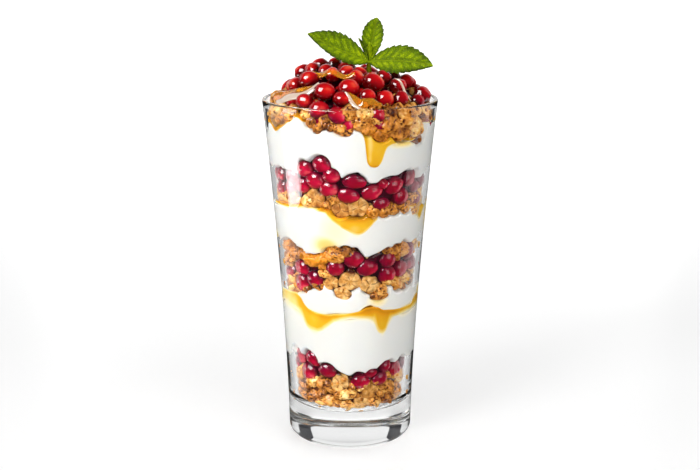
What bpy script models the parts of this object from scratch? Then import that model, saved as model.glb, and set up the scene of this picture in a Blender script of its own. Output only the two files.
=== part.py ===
"""Yogurt parfait: layers of yogurt, honey, granola and pomegranate arils in a tall
tapered tumbler, with a heap of arils and a mint sprig on top.

Metres, +Z up. The origin is the middle of the glass's foot, and the front is -Y.
Angles along the wall are degrees from the front, positive towards +X.
"""

import math

import bmesh
import bpy
from mathutils import Matrix, Vector

MM = 0.001

# Tumbler
GLASS_HEIGHT = 150 * MM
RIM_RADIUS = 37.5 * MM
FOOT_RADIUS = 27.2 * MM
FLARE = 1.55  # how late up the wall the glass opens out
HEEL_RADIUS = 4 * MM
WALL_AT_RIM = 1.8 * MM
WALL_AT_FLOOR = 4.0 * MM
WALL_THINNING = 3  # how soon above the floor the wall thins
FLOOR_HEIGHT = 16 * MM
FLOOR_CORNER = 5 * MM
RECESS_RADIUS = 19 * MM
RECESS_DEPTH = 0.8 * MM
GLASS_SEGMENTS = 48

# Layers
GAP = 0.3 * MM  # between a layer and whatever touches it
THINNEST = 1.1 * MM  # from one surface to the next, gap included
LAYER_SEGMENTS = 60
BACK_SWELL = 2.0 * MM  # waviness of every surface behind the front lobes
WALL_ANGLES = [360 * i / LAYER_SEGMENTS - 180 for i in range(LAYER_SEGMENTS)]

# Heap on top
DOME_SHARES = (0.4, 0.7, 1.0)  # rings of the dome, as shares of the wall radius
DOME_RISE = 8.5 * MM
DOME_ROUNDNESS = 2.5  # higher makes a flatter top and a steeper edge
HEAP_THICKNESS = 9 * MM
HEAP_LEAN = 0.22  # share by which the heap is thicker at -X and thinner at +X
HEAP_RINGS = 8
ARIL_WIDTH = 8.5 * MM
ARIL_BUMP = 1.4 * MM

# Each layer from the floor up: what it is made of, the height of its top at the axis in mm, and the
# lobes of its top along the wall as (angle, half width in degrees, rise in mm).
LAYERS = {
    "granola_low": ("granola", 33, [(-62, 12, 1.5), (-30, 10, -3), (-12, 10, 2), (8, 9, -4), (50, 22, 1.5)]),
    "arils_low": (
        "arils",
        37,
        [(-62, 12, 2.5), (-44, 11, 7.5), (-22, 11, 2.5), (-2, 14, -3.5)]
        + [(18, 12, -3.2), (36, 10, 2.2), (57, 10, 3)],
    ),
    "yogurt_low": ("yogurt", 60.2, [(-70, 25, 3.5), (-33, 15, -6.5), (10, 8, 1), (30, 10, -7), (55, 15, -1)]),
    "honey_low": ("honey", 62.2, [(-65, 28, 6), (-25, 12, -1), (17, 14, 3.5), (45, 12, -1), (75, 15, 3)]),
    "yogurt_thin": (
        "yogurt",
        71.4,
        [(-50, 14, -2.5), (-24, 14, 3.3), (-4, 5, -1.2), (7, 7, 3.5)]
        + [(22, 10, -2), (38, 10, 2.2), (55, 8, -2)],
    ),
    "granola_mid": (
        "granola",
        76.9,
        [(-40, 12, -5.5), (-14, 8, 1), (0, 12, 5.5), (15, 8, 1.5), (25, 9, -1.5), (50, 22, 2.5)],
    ),
    "arils_mid": (
        "arils",
        83.4,
        [(-62, 14, -2.5), (-42, 10, 1.5), (-25, 11, -4), (3, 13, 8)]
        + [(17, 9, 3), (29, 14, 6), (47, 12, 2)],
    ),
    "crumble": (
        "granola",
        88.4,
        [(-58, 22, 4), (-38, 14, -1.5), (-12, 11, 4), (3, 12, 3)]
        + [(15, 10, -2), (30, 10, 1), (48, 13, 4.5), (70, 20, 3)],
    ),
    "yogurt_mid": ("yogurt", 106.6, [(-35, 20, 1.5), (5, 19, -8.5), (40, 12, -0.5), (66, 12, -6)]),
    "honey_mid": ("honey", 107.6, [(-35, 20, 1.2), (5, 22, -3.3), (30, 12, -0.5)]),
    "granola_high": (
        "granola",
        111.6,
        [(-60, 14, 1.5), (-23, 13, 5.5), (4, 9, 2.5), (20, 14, -2), (45, 14, -3.5)],
    ),
    "arils_high": (
        "arils",
        121.6,
        [(-60, 10, 2), (-30, 13, 6.5), (-19, 13, 8), (4, 9, 2.5)]
        + [(17, 11, -2.8), (46, 10, 2), (60, 12, -3.5)],
    ),
    "yogurt_high": (
        "yogurt",
        141.8,
        [(-59, 9, -3), (-38, 14, 4.5), (17, 9, -14), (30, 12, -4), (48, 14, -7.5)],
    ),
    "honey_high": ("honey", 142.9, [(-59, 9, -3), (-38, 14, 4), (-20, 8, -1), (22, 16, -5.5), (48, 14, -7)]),
}
# The top of the uppermost granola, likewise, and how far the heap of arils on it spreads.
DOME_EDGE = (147.6, [(-90, 50, 1.8), (-14, 18, -3.8), (66, 16, -3), (150, 30, -2.5), (-150, 24, 1.5)])
HEAP_REACH = (
    31,
    [(-85, 45, -6.5), (-14, 26, 3.6), (38, 20, -5), (86, 36, 3.6), (150, 30, 3), (-155, 30, -3)],
)

# Mint sprig, which stands in a dip in the heap
SPRIG_X = 8 * MM
SPRIG_Y = 0.5 * MM
DIP_RADIUS = 15 * MM
DIP_DEPTH = 4 * MM
STEM_LENGTH = 3.5 * MM
STEM_RADIUS = 1.0 * MM
STEM_SIDES = 8
BLADE_THICKNESS = 0.6 * MM
TOOTH_DEPTH = 0.07  # share of the half width
# Each leaf: name, length and width in mm, teeth on a side, then degrees: heading of the tip seen
# from above (0 is +X), climb at the foot, droop along the leaf, roll about its midrib, and fold.
LEAVES = (
    ("leaf_left", 29.5, 17, 9, 197, 22, -9, -36, 17),
    ("leaf_up", 23, 9, 8, 76, 64, 28, 14, 38),
    ("leaf_right", 28, 17, 9, -18, 14, 22, 28, 8),
    ("leaflet_back", 11, 5, 4, 150, 66, 6, 20, 30),
    ("leaflet_front", 8.5, 4.4, 4, -80, 78, -10, 0, 40),
)

COLOURS = {
    "glass": ((0.93, 0.96, 0.96, 1), 0.03),
    "yogurt": ((0.93, 0.92, 0.88, 1), 0.45),
    "honey": ((0.83, 0.47, 0.05, 1), 0.12),
    "granola": ((0.66, 0.38, 0.14, 1), 0.75),
    "arils": ((0.50, 0.01, 0.05, 1), 0.15),
    "mint": ((0.15, 0.38, 0.04, 1), 0.5),
}


def material(kind):
    """The Principled BSDF of one kind of food, made once."""
    made = bpy.data.materials.get(kind)
    if made is None:
        made = bpy.data.materials.new(kind)
        made.use_nodes = True
        colour, roughness = COLOURS[kind]
        shader = made.node_tree.nodes["Principled BSDF"]
        shader.inputs["Base Color"].default_value = colour
        shader.inputs["Roughness"].default_value = roughness
        shader.inputs["Metallic"].default_value = 0.0
        if kind == "glass":
            shader.inputs["Transmission Weight"].default_value = 1.0
    return made


def add_object(name, mesh, kind):
    """An object of this mesh and material, linked into the scene."""
    made = bpy.data.objects.new(name, mesh)
    made.data.materials.append(material(kind))
    bpy.context.scene.collection.objects.link(made)
    return made


def outer_radius(z):
    """The glass's outside, a narrow foot that opens towards the rim."""
    share = max(z, 0.0) / GLASS_HEIGHT
    return FOOT_RADIUS + (RIM_RADIUS - FOOT_RADIUS) * share**FLARE


def inner_radius(z):
    """The glass's inside wall, with the rounded corner above the floor."""
    above = (GLASS_HEIGHT - z) / (GLASS_HEIGHT - FLOOR_HEIGHT)
    wall = WALL_AT_RIM + (WALL_AT_FLOOR - WALL_AT_RIM) * above**WALL_THINNING
    below = FLOOR_HEIGHT + FLOOR_CORNER - z
    corner = FLOOR_CORNER - math.sqrt(FLOOR_CORNER**2 - below**2) if below > 0 else 0.0
    return outer_radius(z) - wall - corner


def steps(low, high, count):
    """Evenly spaced values from low to high, both included."""
    return [low + (high - low) * i / (count - 1) for i in range(count)]


def glass_profile():
    """Half section of the tumbler, from the middle of its recess round to the middle of its floor."""
    profile = [(RECESS_RADIUS * share, RECESS_DEPTH * (1 - share**2)) for share in (0.0, 0.5, 1.0)]
    heel_centre = outer_radius(HEEL_RADIUS) - HEEL_RADIUS
    for turn in steps(0, math.pi / 2, 4):
        profile.append((heel_centre + HEEL_RADIUS * math.sin(turn), HEEL_RADIUS * (1 - math.cos(turn))))
    lip = WALL_AT_RIM / 2
    lip_height = GLASS_HEIGHT - lip
    profile += [(outer_radius(z), z) for z in steps(HEEL_RADIUS, lip_height, 7)[1:]]
    lip_centre = outer_radius(lip_height) - lip
    profile += [
        (lip_centre + lip * math.cos(turn), lip_height + lip * math.sin(turn))
        for turn in steps(0, math.pi, 6)[1:-1]
    ]
    corner_top = FLOOR_HEIGHT + FLOOR_CORNER
    profile += [(inner_radius(z), z) for z in steps(lip_height, corner_top, 7)]
    corner_centre = inner_radius(corner_top) - FLOOR_CORNER
    for turn in steps(0, math.pi / 2, 5)[1:]:
        radius = corner_centre + FLOOR_CORNER * math.cos(turn)
        profile.append((radius, corner_top - FLOOR_CORNER * math.sin(turn)))
    profile.append((0.0, FLOOR_HEIGHT))
    return profile


def ring_solid(rings):
    """A closed mesh through rings of points in order. A ring of one point is a pole.

    Each diagonal runs from the ring nearer the axis to the next point of the outer one, so that
    the surfaces above and below a gap are split alike and stay clear of each other.
    """
    mesh_maker = bmesh.new()
    made = [[mesh_maker.verts.new(point) for point in ring] for ring in rings]
    for low, high in zip(made, made[1:]):
        inner, outer = sorted((low, high), key=lambda ring: len(ring) + ring[0].co.xy.length)
        for i in range(len(outer)):
            j = (i + 1) % len(outer)
            near, far = inner[i % len(inner)], inner[j % len(inner)]
            mesh_maker.faces.new([near, outer[i], outer[j]])
            if near is not far:
                mesh_maker.faces.new([near, outer[j], far])
    bmesh.ops.recalc_face_normals(mesh_maker, faces=mesh_maker.faces)
    mesh = bpy.data.meshes.new("solid")
    mesh_maker.to_mesh(mesh)
    mesh_maker.free()
    return mesh


def turned(profile, segments):
    """A closed mesh of a half section turned about Z. Its first and last points are on the axis."""
    rings = []
    for radius, z in profile:
        if radius == 0.0:
            rings.append([(0.0, 0.0, z)])
            continue
        turns = [2 * math.pi * i / segments for i in range(segments)]
        rings.append([(radius * math.cos(turn), radius * math.sin(turn), z) for turn in turns])
    return ring_solid(rings)


def make_glass():
    mesh = turned(glass_profile(), GLASS_SEGMENTS)
    mesh.shade_smooth()
    mesh.set_sharp_from_angle(angle=math.radians(40))
    return add_object("glass_tumbler", mesh, "glass")


def bump(distance, half_width):
    """A smooth swell, 1 in the middle and 0 from half_width out."""
    if abs(distance) >= half_width:
        return 0.0
    return 0.5 + 0.5 * math.cos(math.pi * distance / half_width)


def lobes_at(lobes, angle):
    """The rise that lobes, as LAYERS lists them, give at an angle along the wall."""
    return sum(rise * bump((angle - middle + 180) % 360 - 180, width) for middle, width, rise in lobes) * MM


def back_swell(angle, phase):
    """Waviness of a surface on the sides and back, none at the front."""
    behind = min(max((abs(angle) - 72) / 30, 0.0), 1.0)
    turn = math.radians(angle)
    return BACK_SWELL * behind * (math.sin(3 * turn + phase) + 0.6 * math.sin(7 * turn + 2 * phase))


def layer_tops(angle, share):
    """The height of each layer's top at an angle and a share of the wall radius, each above the last."""
    tops = {}
    below = FLOOR_HEIGHT + FLOOR_CORNER
    for order, (name, (_, level, lobes)) in enumerate(LAYERS.items()):
        wave = lobes_at(lobes, angle) + back_swell(angle, 1.7 * order)
        below = max(level * MM + wave * share, below + THINNEST)
        tops[name] = below
    return tops


def at_wall(angle, radius, z):
    """The point at an angle from the front, a radius from the axis and a height."""
    turn = math.radians(angle)
    return (radius * math.sin(turn), -radius * math.cos(turn), z)


def layer_ring(height_at, share, offset):
    """A layer's ring of points at a share of the wall radius, offset up or down from a surface."""
    ring = []
    for angle in WALL_ANGLES:
        z = height_at(angle, share) + offset
        ring.append(at_wall(angle, (inner_radius(z) - GAP) * share, z))
    return ring


def face_rings(height_at, offset, shares=(1.0,)):
    """A layer's top or bottom: its middle point, then rings out to the wall."""
    middle = (0.0, 0.0, height_at(0, 0) + offset)
    return [[middle]] + [layer_ring(height_at, share, offset) for share in shares]


def top_of(name):
    """The top of a layer as a function of the angle and the share of the wall radius."""
    return lambda angle, share: layer_tops(angle, share)[name]


def dome_height(angle, share):
    """The top of the uppermost granola: a dome whose edge lies against the glass near the rim."""
    level, lobes = DOME_EDGE
    return level * MM + lobes_at(lobes, angle) * share**2 + DOME_RISE * (1 - share**DOME_ROUNDNESS)


def make_layer(name, kind, low, high, shares=(1.0,)):
    """One layer, from wall to wall between two surfaces."""
    rings = face_rings(low, GAP / 2) + face_rings(high, -GAP / 2, shares)[::-1]
    return add_object(name, ring_solid(rings), kind)


def make_bottom_granola():
    """The lowest granola, which fills the rounded corner of the glass's floor."""
    floor = FLOOR_HEIGHT + GAP
    rings = [[(0.0, 0.0, floor)]]
    corner = FLOOR_CORNER - GAP
    corner_top = floor + corner
    corner_centre = inner_radius(FLOOR_HEIGHT + FLOOR_CORNER) - FLOOR_CORNER
    for turn in steps(math.pi / 2, 0, 4):
        z = corner_top - corner * math.sin(turn)
        radius = corner_centre + corner * math.cos(turn)
        rings.append([at_wall(angle, radius, z) for angle in WALL_ANGLES])
    rings += face_rings(top_of("granola_low"), -GAP / 2)[::-1]
    return add_object("granola_low", ring_solid(rings), "granola")


def heap_reach(angle):
    """How far from the axis the heap of arils spreads."""
    reach, lobes = HEAP_REACH
    return reach * MM + lobes_at(lobes, angle)


def aril_bumps(x, y):
    """The knobbly top of the heap: crests one aril apart on a staggered grid."""
    row = 2 * math.pi * y / (ARIL_WIDTH * math.sqrt(3))
    column = 2 * math.pi * x / ARIL_WIDTH
    return ARIL_BUMP * math.cos(row) * math.cos(column)


def dome_under(x, y):
    """The dome's height under a point of the heap."""
    angle = math.degrees(math.atan2(x, -y))
    share = math.hypot(x, y) / inner_radius(GLASS_HEIGHT - WALL_AT_RIM)
    return dome_height(angle, share)


def heap_top(x, y):
    """The heap's height at a point, falling away steeply at its outline and dipping at the sprig."""
    share = min(math.hypot(x, y) / heap_reach(math.degrees(math.atan2(x, -y))), 1.0)
    thickness = HEAP_THICKNESS * (1 - HEAP_LEAN * x / RIM_RADIUS) * math.sqrt(1 - 0.9 * share**4)
    dip = DIP_DEPTH * bump(math.hypot(x - SPRIG_X, y - SPRIG_Y), DIP_RADIUS)
    return dome_under(x, y) + thickness + aril_bumps(x, y) * (1 - share**4) - dip


def heap_ring(share, height_at):
    """The heap's ring of points at a share of its reach, at the heights of a surface."""
    ring = []
    for angle in WALL_ANGLES:
        x, y, _ = at_wall(angle, heap_reach(angle) * share, 0)
        ring.append((x, y, height_at(x, y)))
    return ring


def make_heap():
    """The heap of arils, out to its uneven outline, on the dome of granola."""
    shares = steps(0, 1, HEAP_RINGS + 1)[1:]
    under = [heap_ring(share, lambda x, y: dome_under(x, y) + GAP) for share in shares[1::2]]
    over = [heap_ring(share, heap_top) for share in shares[::-1]]
    rings = [[(0.0, 0.0, dome_under(0, 0) + GAP)]] + under + over + [[(0.0, 0.0, heap_top(0, 0))]]
    return add_object("arils_top", ring_solid(rings), "arils")


def blade_half_width(along, width):
    """A mint leaf's half width at a share of its length, widest nearer its foot."""
    outline = math.sin(math.pi * along**0.8) ** 0.75 if 0 < along < 1 else 0.0
    return max(width / 2 * outline, BLADE_THICKNESS / 2)


def make_leaf(top, name, length, width, teeth, heading, climb, droop, roll, fold):
    """One leaf as a thin closed blade, bent along its length and folded along its midrib."""
    spine = top
    heading_turn = Matrix.Rotation(math.radians(heading), 3, "Z")
    outline_rings = []
    for i, along in enumerate(steps(0, 1, 2 * teeth + 1)):
        pitch = math.radians(climb - droop * along)
        forward = heading_turn @ Vector((math.cos(pitch), 0, math.sin(pitch)))
        if i:
            spine = spine + forward * (length * MM / (2 * teeth))
        side = Matrix.Rotation(math.radians(roll), 3, forward) @ (heading_turn @ Vector((0, 1, 0)))
        up = forward.cross(side)
        half = blade_half_width(along, width * MM) * (1 - TOOTH_DEPTH * (i % 2))
        lift = up * half * math.sin(math.radians(fold))
        rib = up * BLADE_THICKNESS / 2
        left, right = spine + side * half + lift, spine - side * half + lift
        outline_rings.append([left + rib, spine + rib, right + rib, right - rib, spine - rib, left - rib])
    mesh_maker = bmesh.new()
    rings = [[mesh_maker.verts.new(point) for point in ring] for ring in outline_rings]
    for low, high in zip(rings, rings[1:]):
        for j in range(6):
            k = (j + 1) % 6
            mesh_maker.faces.new([low[j], low[k], high[k], high[j]])
    mesh_maker.faces.new(rings[0][::-1])
    mesh_maker.faces.new(rings[-1])
    bmesh.ops.triangulate(mesh_maker, faces=mesh_maker.faces)
    bmesh.ops.recalc_face_normals(mesh_maker, faces=mesh_maker.faces)
    mesh = bpy.data.meshes.new(name)
    mesh_maker.to_mesh(mesh)
    mesh_maker.free()
    leaf = add_object(name, mesh, "mint")
    leaf.hide_render = True
    leaf.display_type = "WIRE"
    return leaf


def make_sprig():
    """The mint sprig: a short stem with its leaves joined to it as one solid."""
    profile = [(0.0, 0.0), (STEM_RADIUS * 0.8, 0.0), (STEM_RADIUS, STEM_LENGTH * 0.6)]
    profile += [(STEM_RADIUS * 0.7, STEM_LENGTH), (0.0, STEM_LENGTH)]
    stem = add_object("mint_sprig", turned(profile, STEM_SIDES), "mint")
    stem.location = (SPRIG_X, SPRIG_Y, heap_top(SPRIG_X, SPRIG_Y) + 2 * GAP)
    top = stem.location + Vector((0, 0, STEM_LENGTH - STEM_RADIUS))
    for leaf in [make_leaf(top, *row) for row in LEAVES]:
        join = stem.modifiers.new(f"join_{leaf.name}", "BOOLEAN")
        join.operation = "UNION"
        join.solver = "EXACT"
        join.object = leaf
    return stem


def main():
    for old in list(bpy.data.objects):
        bpy.data.objects.remove(old)
    make_glass()
    make_bottom_granola()
    names = list(LAYERS)
    for under, name in zip(names, names[1:]):
        make_layer(name, LAYERS[name][0], top_of(under), top_of(name))
    make_layer("granola_top", "granola", top_of(names[-1]), dome_height, DOME_SHARES)
    make_heap()
    make_sprig()


main()
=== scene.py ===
"""A yogurt parfait in a tall tapered glass: yogurt, honey, granola, pomegranate arils and mint.

Metres, +Z up. The glass stands on the origin and its front is -Y. Angles along the wall are degrees
from the front, positive towards +X. Each layer follows the edges of its own solid in the frame.
"""

import math
import random
from collections import namedtuple
from functools import lru_cache

import bmesh
import bpy
import numpy as np
from mathutils import Euler, Matrix, Vector, noise
from mathutils.bvhtree import BVHTree


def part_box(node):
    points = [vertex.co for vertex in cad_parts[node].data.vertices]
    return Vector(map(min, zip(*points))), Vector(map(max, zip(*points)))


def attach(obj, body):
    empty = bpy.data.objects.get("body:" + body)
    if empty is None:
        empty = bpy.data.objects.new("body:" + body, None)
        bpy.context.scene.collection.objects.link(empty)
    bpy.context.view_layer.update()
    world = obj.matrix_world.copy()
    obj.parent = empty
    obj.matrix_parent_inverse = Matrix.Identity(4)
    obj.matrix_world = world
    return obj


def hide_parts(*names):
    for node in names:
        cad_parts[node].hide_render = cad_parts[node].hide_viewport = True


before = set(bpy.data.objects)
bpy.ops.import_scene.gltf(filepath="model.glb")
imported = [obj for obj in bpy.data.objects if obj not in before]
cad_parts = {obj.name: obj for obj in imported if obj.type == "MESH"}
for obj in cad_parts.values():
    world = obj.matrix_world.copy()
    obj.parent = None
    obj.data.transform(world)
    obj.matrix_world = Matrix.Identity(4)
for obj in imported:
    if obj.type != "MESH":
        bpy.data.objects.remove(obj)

bl_info = {
    "name": "Yogurt Parfait",
    "version": (1, 0, 0),
    "blender": (4, 5, 0),
    "location": "3D View > Sidebar > Parfait",
    "description": "Builds a yogurt parfait with granola, pomegranate arils and mint in its glass",
    "category": "Add Mesh",
}

MM = 0.001

# The tumbler's own shape, as its solid in the frame has it.
GLASS_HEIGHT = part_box("glass_tumbler")[1].z
RIM_RADIUS = 37.5 * MM
FOOT_RADIUS = 27.2 * MM
FLARE = 1.55
HEEL_RADIUS = 4 * MM
WALL_AT_RIM = 1.8 * MM
WALL_AT_FLOOR = 4.0 * MM
WALL_THINNING = 3
FLOOR_HEIGHT = 16 * MM
FLOOR_CORNER = 5 * MM
RECESS_RADIUS = 19 * MM
RECESS_DEPTH = 0.8 * MM
GAP = 0.3 * MM  # between the solids in the frame
RING = 60  # points of a layer's edge in the frame

WET = 0.12 * MM  # how far yogurt and honey reach into the wall they wet
BACK = 2.4 * MM  # how far the beds stay back from the wall
BIG_LUMP = 3.7 * MM  # lumps wider than this go with the clusters
PAINTED_LIGHT_ABOVE = 146 * MM  # from here up the arils are painted in a brighter red, a painted light
HEAP_LEVEL = 146 * MM  # where the heap's pieces clear the wall
HEAP_CENTRE = 125 * MM  # the point that the heap's arils face away from, for their painted light and shade
GLAZE = 0.45 * MM  # half the thickness of the glaze
SHAPES_ON_WALL = 4  # shapes of each kind of piece along the wall
HONEY_COLUMNS = 900  # points round a layer of honey, whose runs are fine
BED_COLUMNS = 150  # points round the bed under granola or arils
# How each kind of layer is built: points round it, distance between its rows up the wall, rounding of
# its edges and depth of its unevenness.
YOGURT_BUILD = (420, 0.75 * MM, 0.9 * MM, 0.0)
HONEY_BUILD = (HONEY_COLUMNS, 0.4 * MM, 0.15 * MM, 0.0)
GRANOLA_BUILD = (BED_COLUMNS, 1.5 * MM, 1.0 * MM, 0.35 * MM)
ARIL_BUILD = (BED_COLUMNS, 1.5 * MM, 1.2 * MM, 0.4 * MM)
# Fixed seeds, so that chance gives the same parfait every time.
SEEDS = {"arils": 100, "arils behind": 150, "flakes": 200, "lumps": 300}
HEAP_SEEDS = {"front": 7, "arils": 11, "arils under": 12, "granola": 13}

YOGURTS = ("yogurt_low", "yogurt_thin", "yogurt_mid", "yogurt_high")
HONEYS = ("honey_low", "honey_mid", "honey_high")
GRANOLAS = ("granola_low", "granola_mid", "crumble", "granola_high", "granola_top")
ARIL_LAYERS = ("arils_low", "arils_mid", "arils_high")
# What lies right below and above each layer that is poured, so that it can close round it.
NEIGHBOURS = {
    "yogurt_low": ("arils_low", "granola_low"),
    "yogurt_thin": ("granola_mid", "arils_mid"),
    "yogurt_mid": ("crumble", "arils_mid", "granola_high"),
    "yogurt_high": ("arils_high", "granola_top"),
    "honey_low": (),
    "honey_mid": ("granola_high",),
    "honey_high": ("granola_top",),
}
# The honey next to each layer of yogurt, and how far its colour fades into it.
HONEY_NEAR = {
    "yogurt_low": ("honey_low", 0.9 * MM),
    "yogurt_thin": ("honey_low", 0.7 * MM),
    "yogurt_mid": ("honey_mid", 0.8 * MM),
    "yogurt_high": ("honey_high", 0.5 * MM),
}

# Pieces that lie against the front of the wall: angle, height, half width and half height in mm,
# and the lean of the long side in degrees.
FRONT_ARILS = {
    "arils_low": (
        (-78, 33.4, 3.4, 3.5, 10), (-58, 39.4, 2.7, 4.1, -20), (-48.5, 32.6, 3.9, 4.1, 0),
        (-24.3, 35.2, 3.9, 3.3, 15), (10.9, 30.4, 3.8, 3.3, -10), (32.6, 31.0, 3.8, 2.9, -20),
        (52.5, 33.8, 3.9, 3.5, -35), (76, 34.0, 4.0, 2.7, -50),
    ),
    "arils_mid": (
        (-82, 74.8, 3.6, 3.4, 20), (-66, 77.0, 3.2, 3.0, 0), (-47.3, 80.3, 3.9, 3.3, 30),
        (-48.7, 73.5, 3.6, 3.9, 0), (-32.9, 76.5, 3.8, 3.8, 30), (-13.4, 82.3, 3.7, 3.7, 0),
        (3.0, 86.3, 4.0, 3.8, 0), (15.4, 82.2, 4.2, 3.5, -8), (34.8, 85.2, 4.1, 3.8, -30),
        (35.6, 78.3, 4.0, 4.0, 0), (51.3, 79.6, 3.8, 3.6, -20), (61, 86.8, 4.3, 3.5, -48),
        (76, 79.5, 3.6, 3.4, 0),
    ),
    "arils_high": (
        (-82, 118.6, 3.5, 3.7, 25), (-93, 114.6, 3.5, 3.3, 0), (-68, 113.6, 3.2, 3.4, 20),
        (-66, 119.6, 3.0, 3.0, 20), (-49.5, 120.3, 3.5, 2.9, 0), (-53, 115.2, 3.2, 3.0, 0),
        (-36.5, 124.2, 3.6, 3.7, 15), (-21.3, 126.8, 3.8, 3.6, 10), (-27.8, 119.8, 4.1, 3.7, 20),
        (-14.2, 122.2, 3.6, 3.1, 0), (-39.5, 117.0, 3.3, 3.5, 0), (-16.3, 116.6, 3.7, 3.5, 0),
        (3.5, 119.9, 4.6, 3.1, 5), (-1.4, 114.0, 4.3, 3.3, 10), (17.0, 115.2, 4.3, 3.3, -12),
        (36.7, 117.1, 4.3, 3.5, -25), (44.1, 111.9, 4.1, 3.9, 0), (24.8, 110.1, 3.7, 2.7, 0),
        (52.3, 119.2, 3.9, 2.9, -42), (64.5, 109.4, 3.7, 3.3, 0), (60, 115.0, 3.2, 3.0, 0),
    ),
}
FRONT_FLAKES = {
    "granola_low": ((-10.8, 29.9, 4.0, 4.0, 8), (20.9, 25.9, 4.2, 3.5, -10), (11.8, 20.2, 3.8, 3.0, 0)),
    "granola_mid": (
        (0.1, 76.5, 4.4, 4.2, 12), (-16.8, 75.6, 3.3, 2.9, 20), (-6.3, 71.3, 3.9, 2.5, 10),
        (17.5, 74.7, 4.3, 3.6, -35),
    ),
    "granola_high": ((-28, 111.9, 4.2, 4.1, 35), (-7.1, 107.7, 3.9, 3.3, -15), (6.4, 108.8, 4.3, 4.1, 50)),
    "granola_top": ((-76, 142.2, 2.9, 5.2, 8),),
}
FRONT_LUMPS = {
    "granola_low": (
        (-29.2, 28.8, 3.6, 3.0, 0), (-20.6, 21.0, 4.2, 3.0, 10), (-44.4, 21.2, 3.6, 3.0, 0),
        (44.7, 25.9, 3.5, 3.5, 0), (70, 28.4, 3.1, 4.0, -10), (-72, 28.8, 3.1, 3.6, 15),
        (-3.4, 24.8, 4.0, 2.4, -15), (43.6, 20.4, 3.5, 2.9, 0), (72, 21.2, 3.2, 3.0, 0),
        (-69, 21.4, 3.2, 3.2, 0), (27, 20.2, 2.9, 2.6, 0), (-3, 19.6, 3.4, 2.2, 0),
        (-33, 19.6, 3.0, 2.2, 0), (57, 23.8, 3.0, 2.6, 0), (-57, 25.4, 3.2, 3.0, 0),
    ),
    "granola_mid": (
        (28, 71.5, 3.3, 3.3, 0), (46, 73.4, 3.4, 3.4, 20), (68, 73.4, 3.2, 3.4, 0),
        (-71, 71.0, 3.4, 3.0, 0), (-57, 67.8, 2.4, 2.4, 0), (26, 69.4, 4.2, 1.7, 0),
        (57, 75.0, 3.0, 2.6, 0),
    ),
    "crumble": (
        (-14.1, 87.9, 4.6, 3.5, 20), (-34, 84.8, 4.9, 2.9, 0), (-80, 82, 3.3, 3.5, 0),
        (-67, 81.6, 3.4, 3.4, 0), (-76, 87.4, 2.9, 3.0, 0), (-22, 79.6, 2.8, 1.8, 0),
        (72, 89, 3.6, 4.2, 0), (-56, 86.0, 3.0, 2.8, 0), (-24, 86.0, 3.0, 2.6, 0),
    ),
    "granola_high": (
        (-13.4, 112.4, 2.6, 2.5, 0), (-35.6, 110.4, 2.8, 2.8, 0), (19, 106.9, 3.3, 2.9, 0),
        (27, 106.7, 3.3, 2.9, 15), (36, 107.0, 3.2, 2.8, 0), (48, 106.8, 3.2, 2.8, 0),
        (-52, 111.4, 3.4, 2.9, 0), (-78, 109.6, 3.2, 3.3, 0), (59, 104.8, 2.6, 2.2, 0),
    ),
    "granola_top": (
        (-28, 144.4, 2.3, 2.8, 0), (-18.2, 143.7, 2.3, 2.8, 20), (-23, 141.7, 2.2, 2.2, 0),
        (-13.1, 142.4, 1.8, 1.8, 0), (-5.3, 141.8, 4.3, 2.8, 15), (6.9, 144.7, 4.2, 3.8, 0),
        (12.7, 141.8, 3.2, 2.8, 0), (29, 143.2, 5.0, 5.2, 20), (43, 144.8, 5.3, 5.0, -20),
        (55, 140.4, 4.4, 4.9, 10), (38, 139.2, 4.8, 3.9, 0), (21, 139.6, 4.0, 3.2, 30),
        (55, 135.8, 3.2, 2.7, 0), (-1.2, 148.3, 2.7, 3.0, 0), (10.5, 147.8, 3.0, 2.2, 0),
    ),
}
# Arils on the heap that can be told apart from the front: x, y, height and half width in mm.
HEAP_ARILS = (
    (-15.5, -3, 161.5, 4.1), (-9.8, -6.5, 161.3, 4.1), (-6.3, 1.5, 163.4, 3.7), (-1.6, -1, 161.4, 4.5),
    (-17, -15.4, 159.3, 4.2), (-10.3, -24, 155.3, 4.7), (-0.4, -22.6, 156.5, 4.8),
    (9.5, -17.4, 158.2, 4.7), (14.3, -22.3, 152.2, 4.3), (-18.4, -24.4, 151.5, 3.9),
    (-12.5, -29.3, 148.9, 4.3), (-4.8, -31.6, 146.9, 4.2), (23.4, -3.6, 157.2, 3.6),
    (19.9, -11.3, 156, 4.3), (30.3, -5.8, 151.8, 4.3), (27.9, -12.2, 149.8, 3.7), (7, -26.7, 154.2, 3.5),
    (10.5, -30.4, 146.9, 3.4),
)
# Glaze that has run over the heap: its path as (x, y) in mm, half width in mm, and how pale it is; the pale
# runs are a painted highlight, a milky sheen for the softbox's reflection along the honey.
HEAP_GLAZE = (
    (((-32, -7), (-28, -14), (-22, -19.5), (-14, -22)), 2.8, 0.0),
    (((-30.5, -16), (-27.5, -19), (-21, -22.5), (-12.5, -23.5)), 1.7, 0.9),
    (((-2, -28.6), (1.5, -31), (4, -33.4)), 0.8, 0.8),
    (((-1, -28.5), (5, -30.5), (13, -29)), 2.0, 0.0),
    (((18.5, -13), (22, -15), (25, -18)), 0.5, 0.8),
    (((-16, -13), (-8, -17), (2, -18)), 1.6, 0.0),
)
# Honey that has soaked into the yogurt along the wall: angle, height and half widths, then strength.
YOGURT_STAINS = (
    (-12, 99, 13, 9, 0.3), (-19, 92.5, 12, 4.5, 0.75), (24, 68, 9, 3.2, 0.6), (81, 102, 4.5, 8, 0.7),
    (-81, 90, 6, 4, 0.8), (80, 66, 6, 4, 0.6), (39, 135, 13, 1.8, 0.7), (-64, 66, 16, 5, 0.75),
    (-62, 70, 14, 4, 0.6), (120, 106, 9, 4, 0.5), (-130, 60, 14, 2.5, 0.5), (170, 138.5, 12, 2.5, 0.5),
    (-150, 137.5, 8, 3, 0.5), (140, 64, 15, 2.5, 0.5),
)
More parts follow.
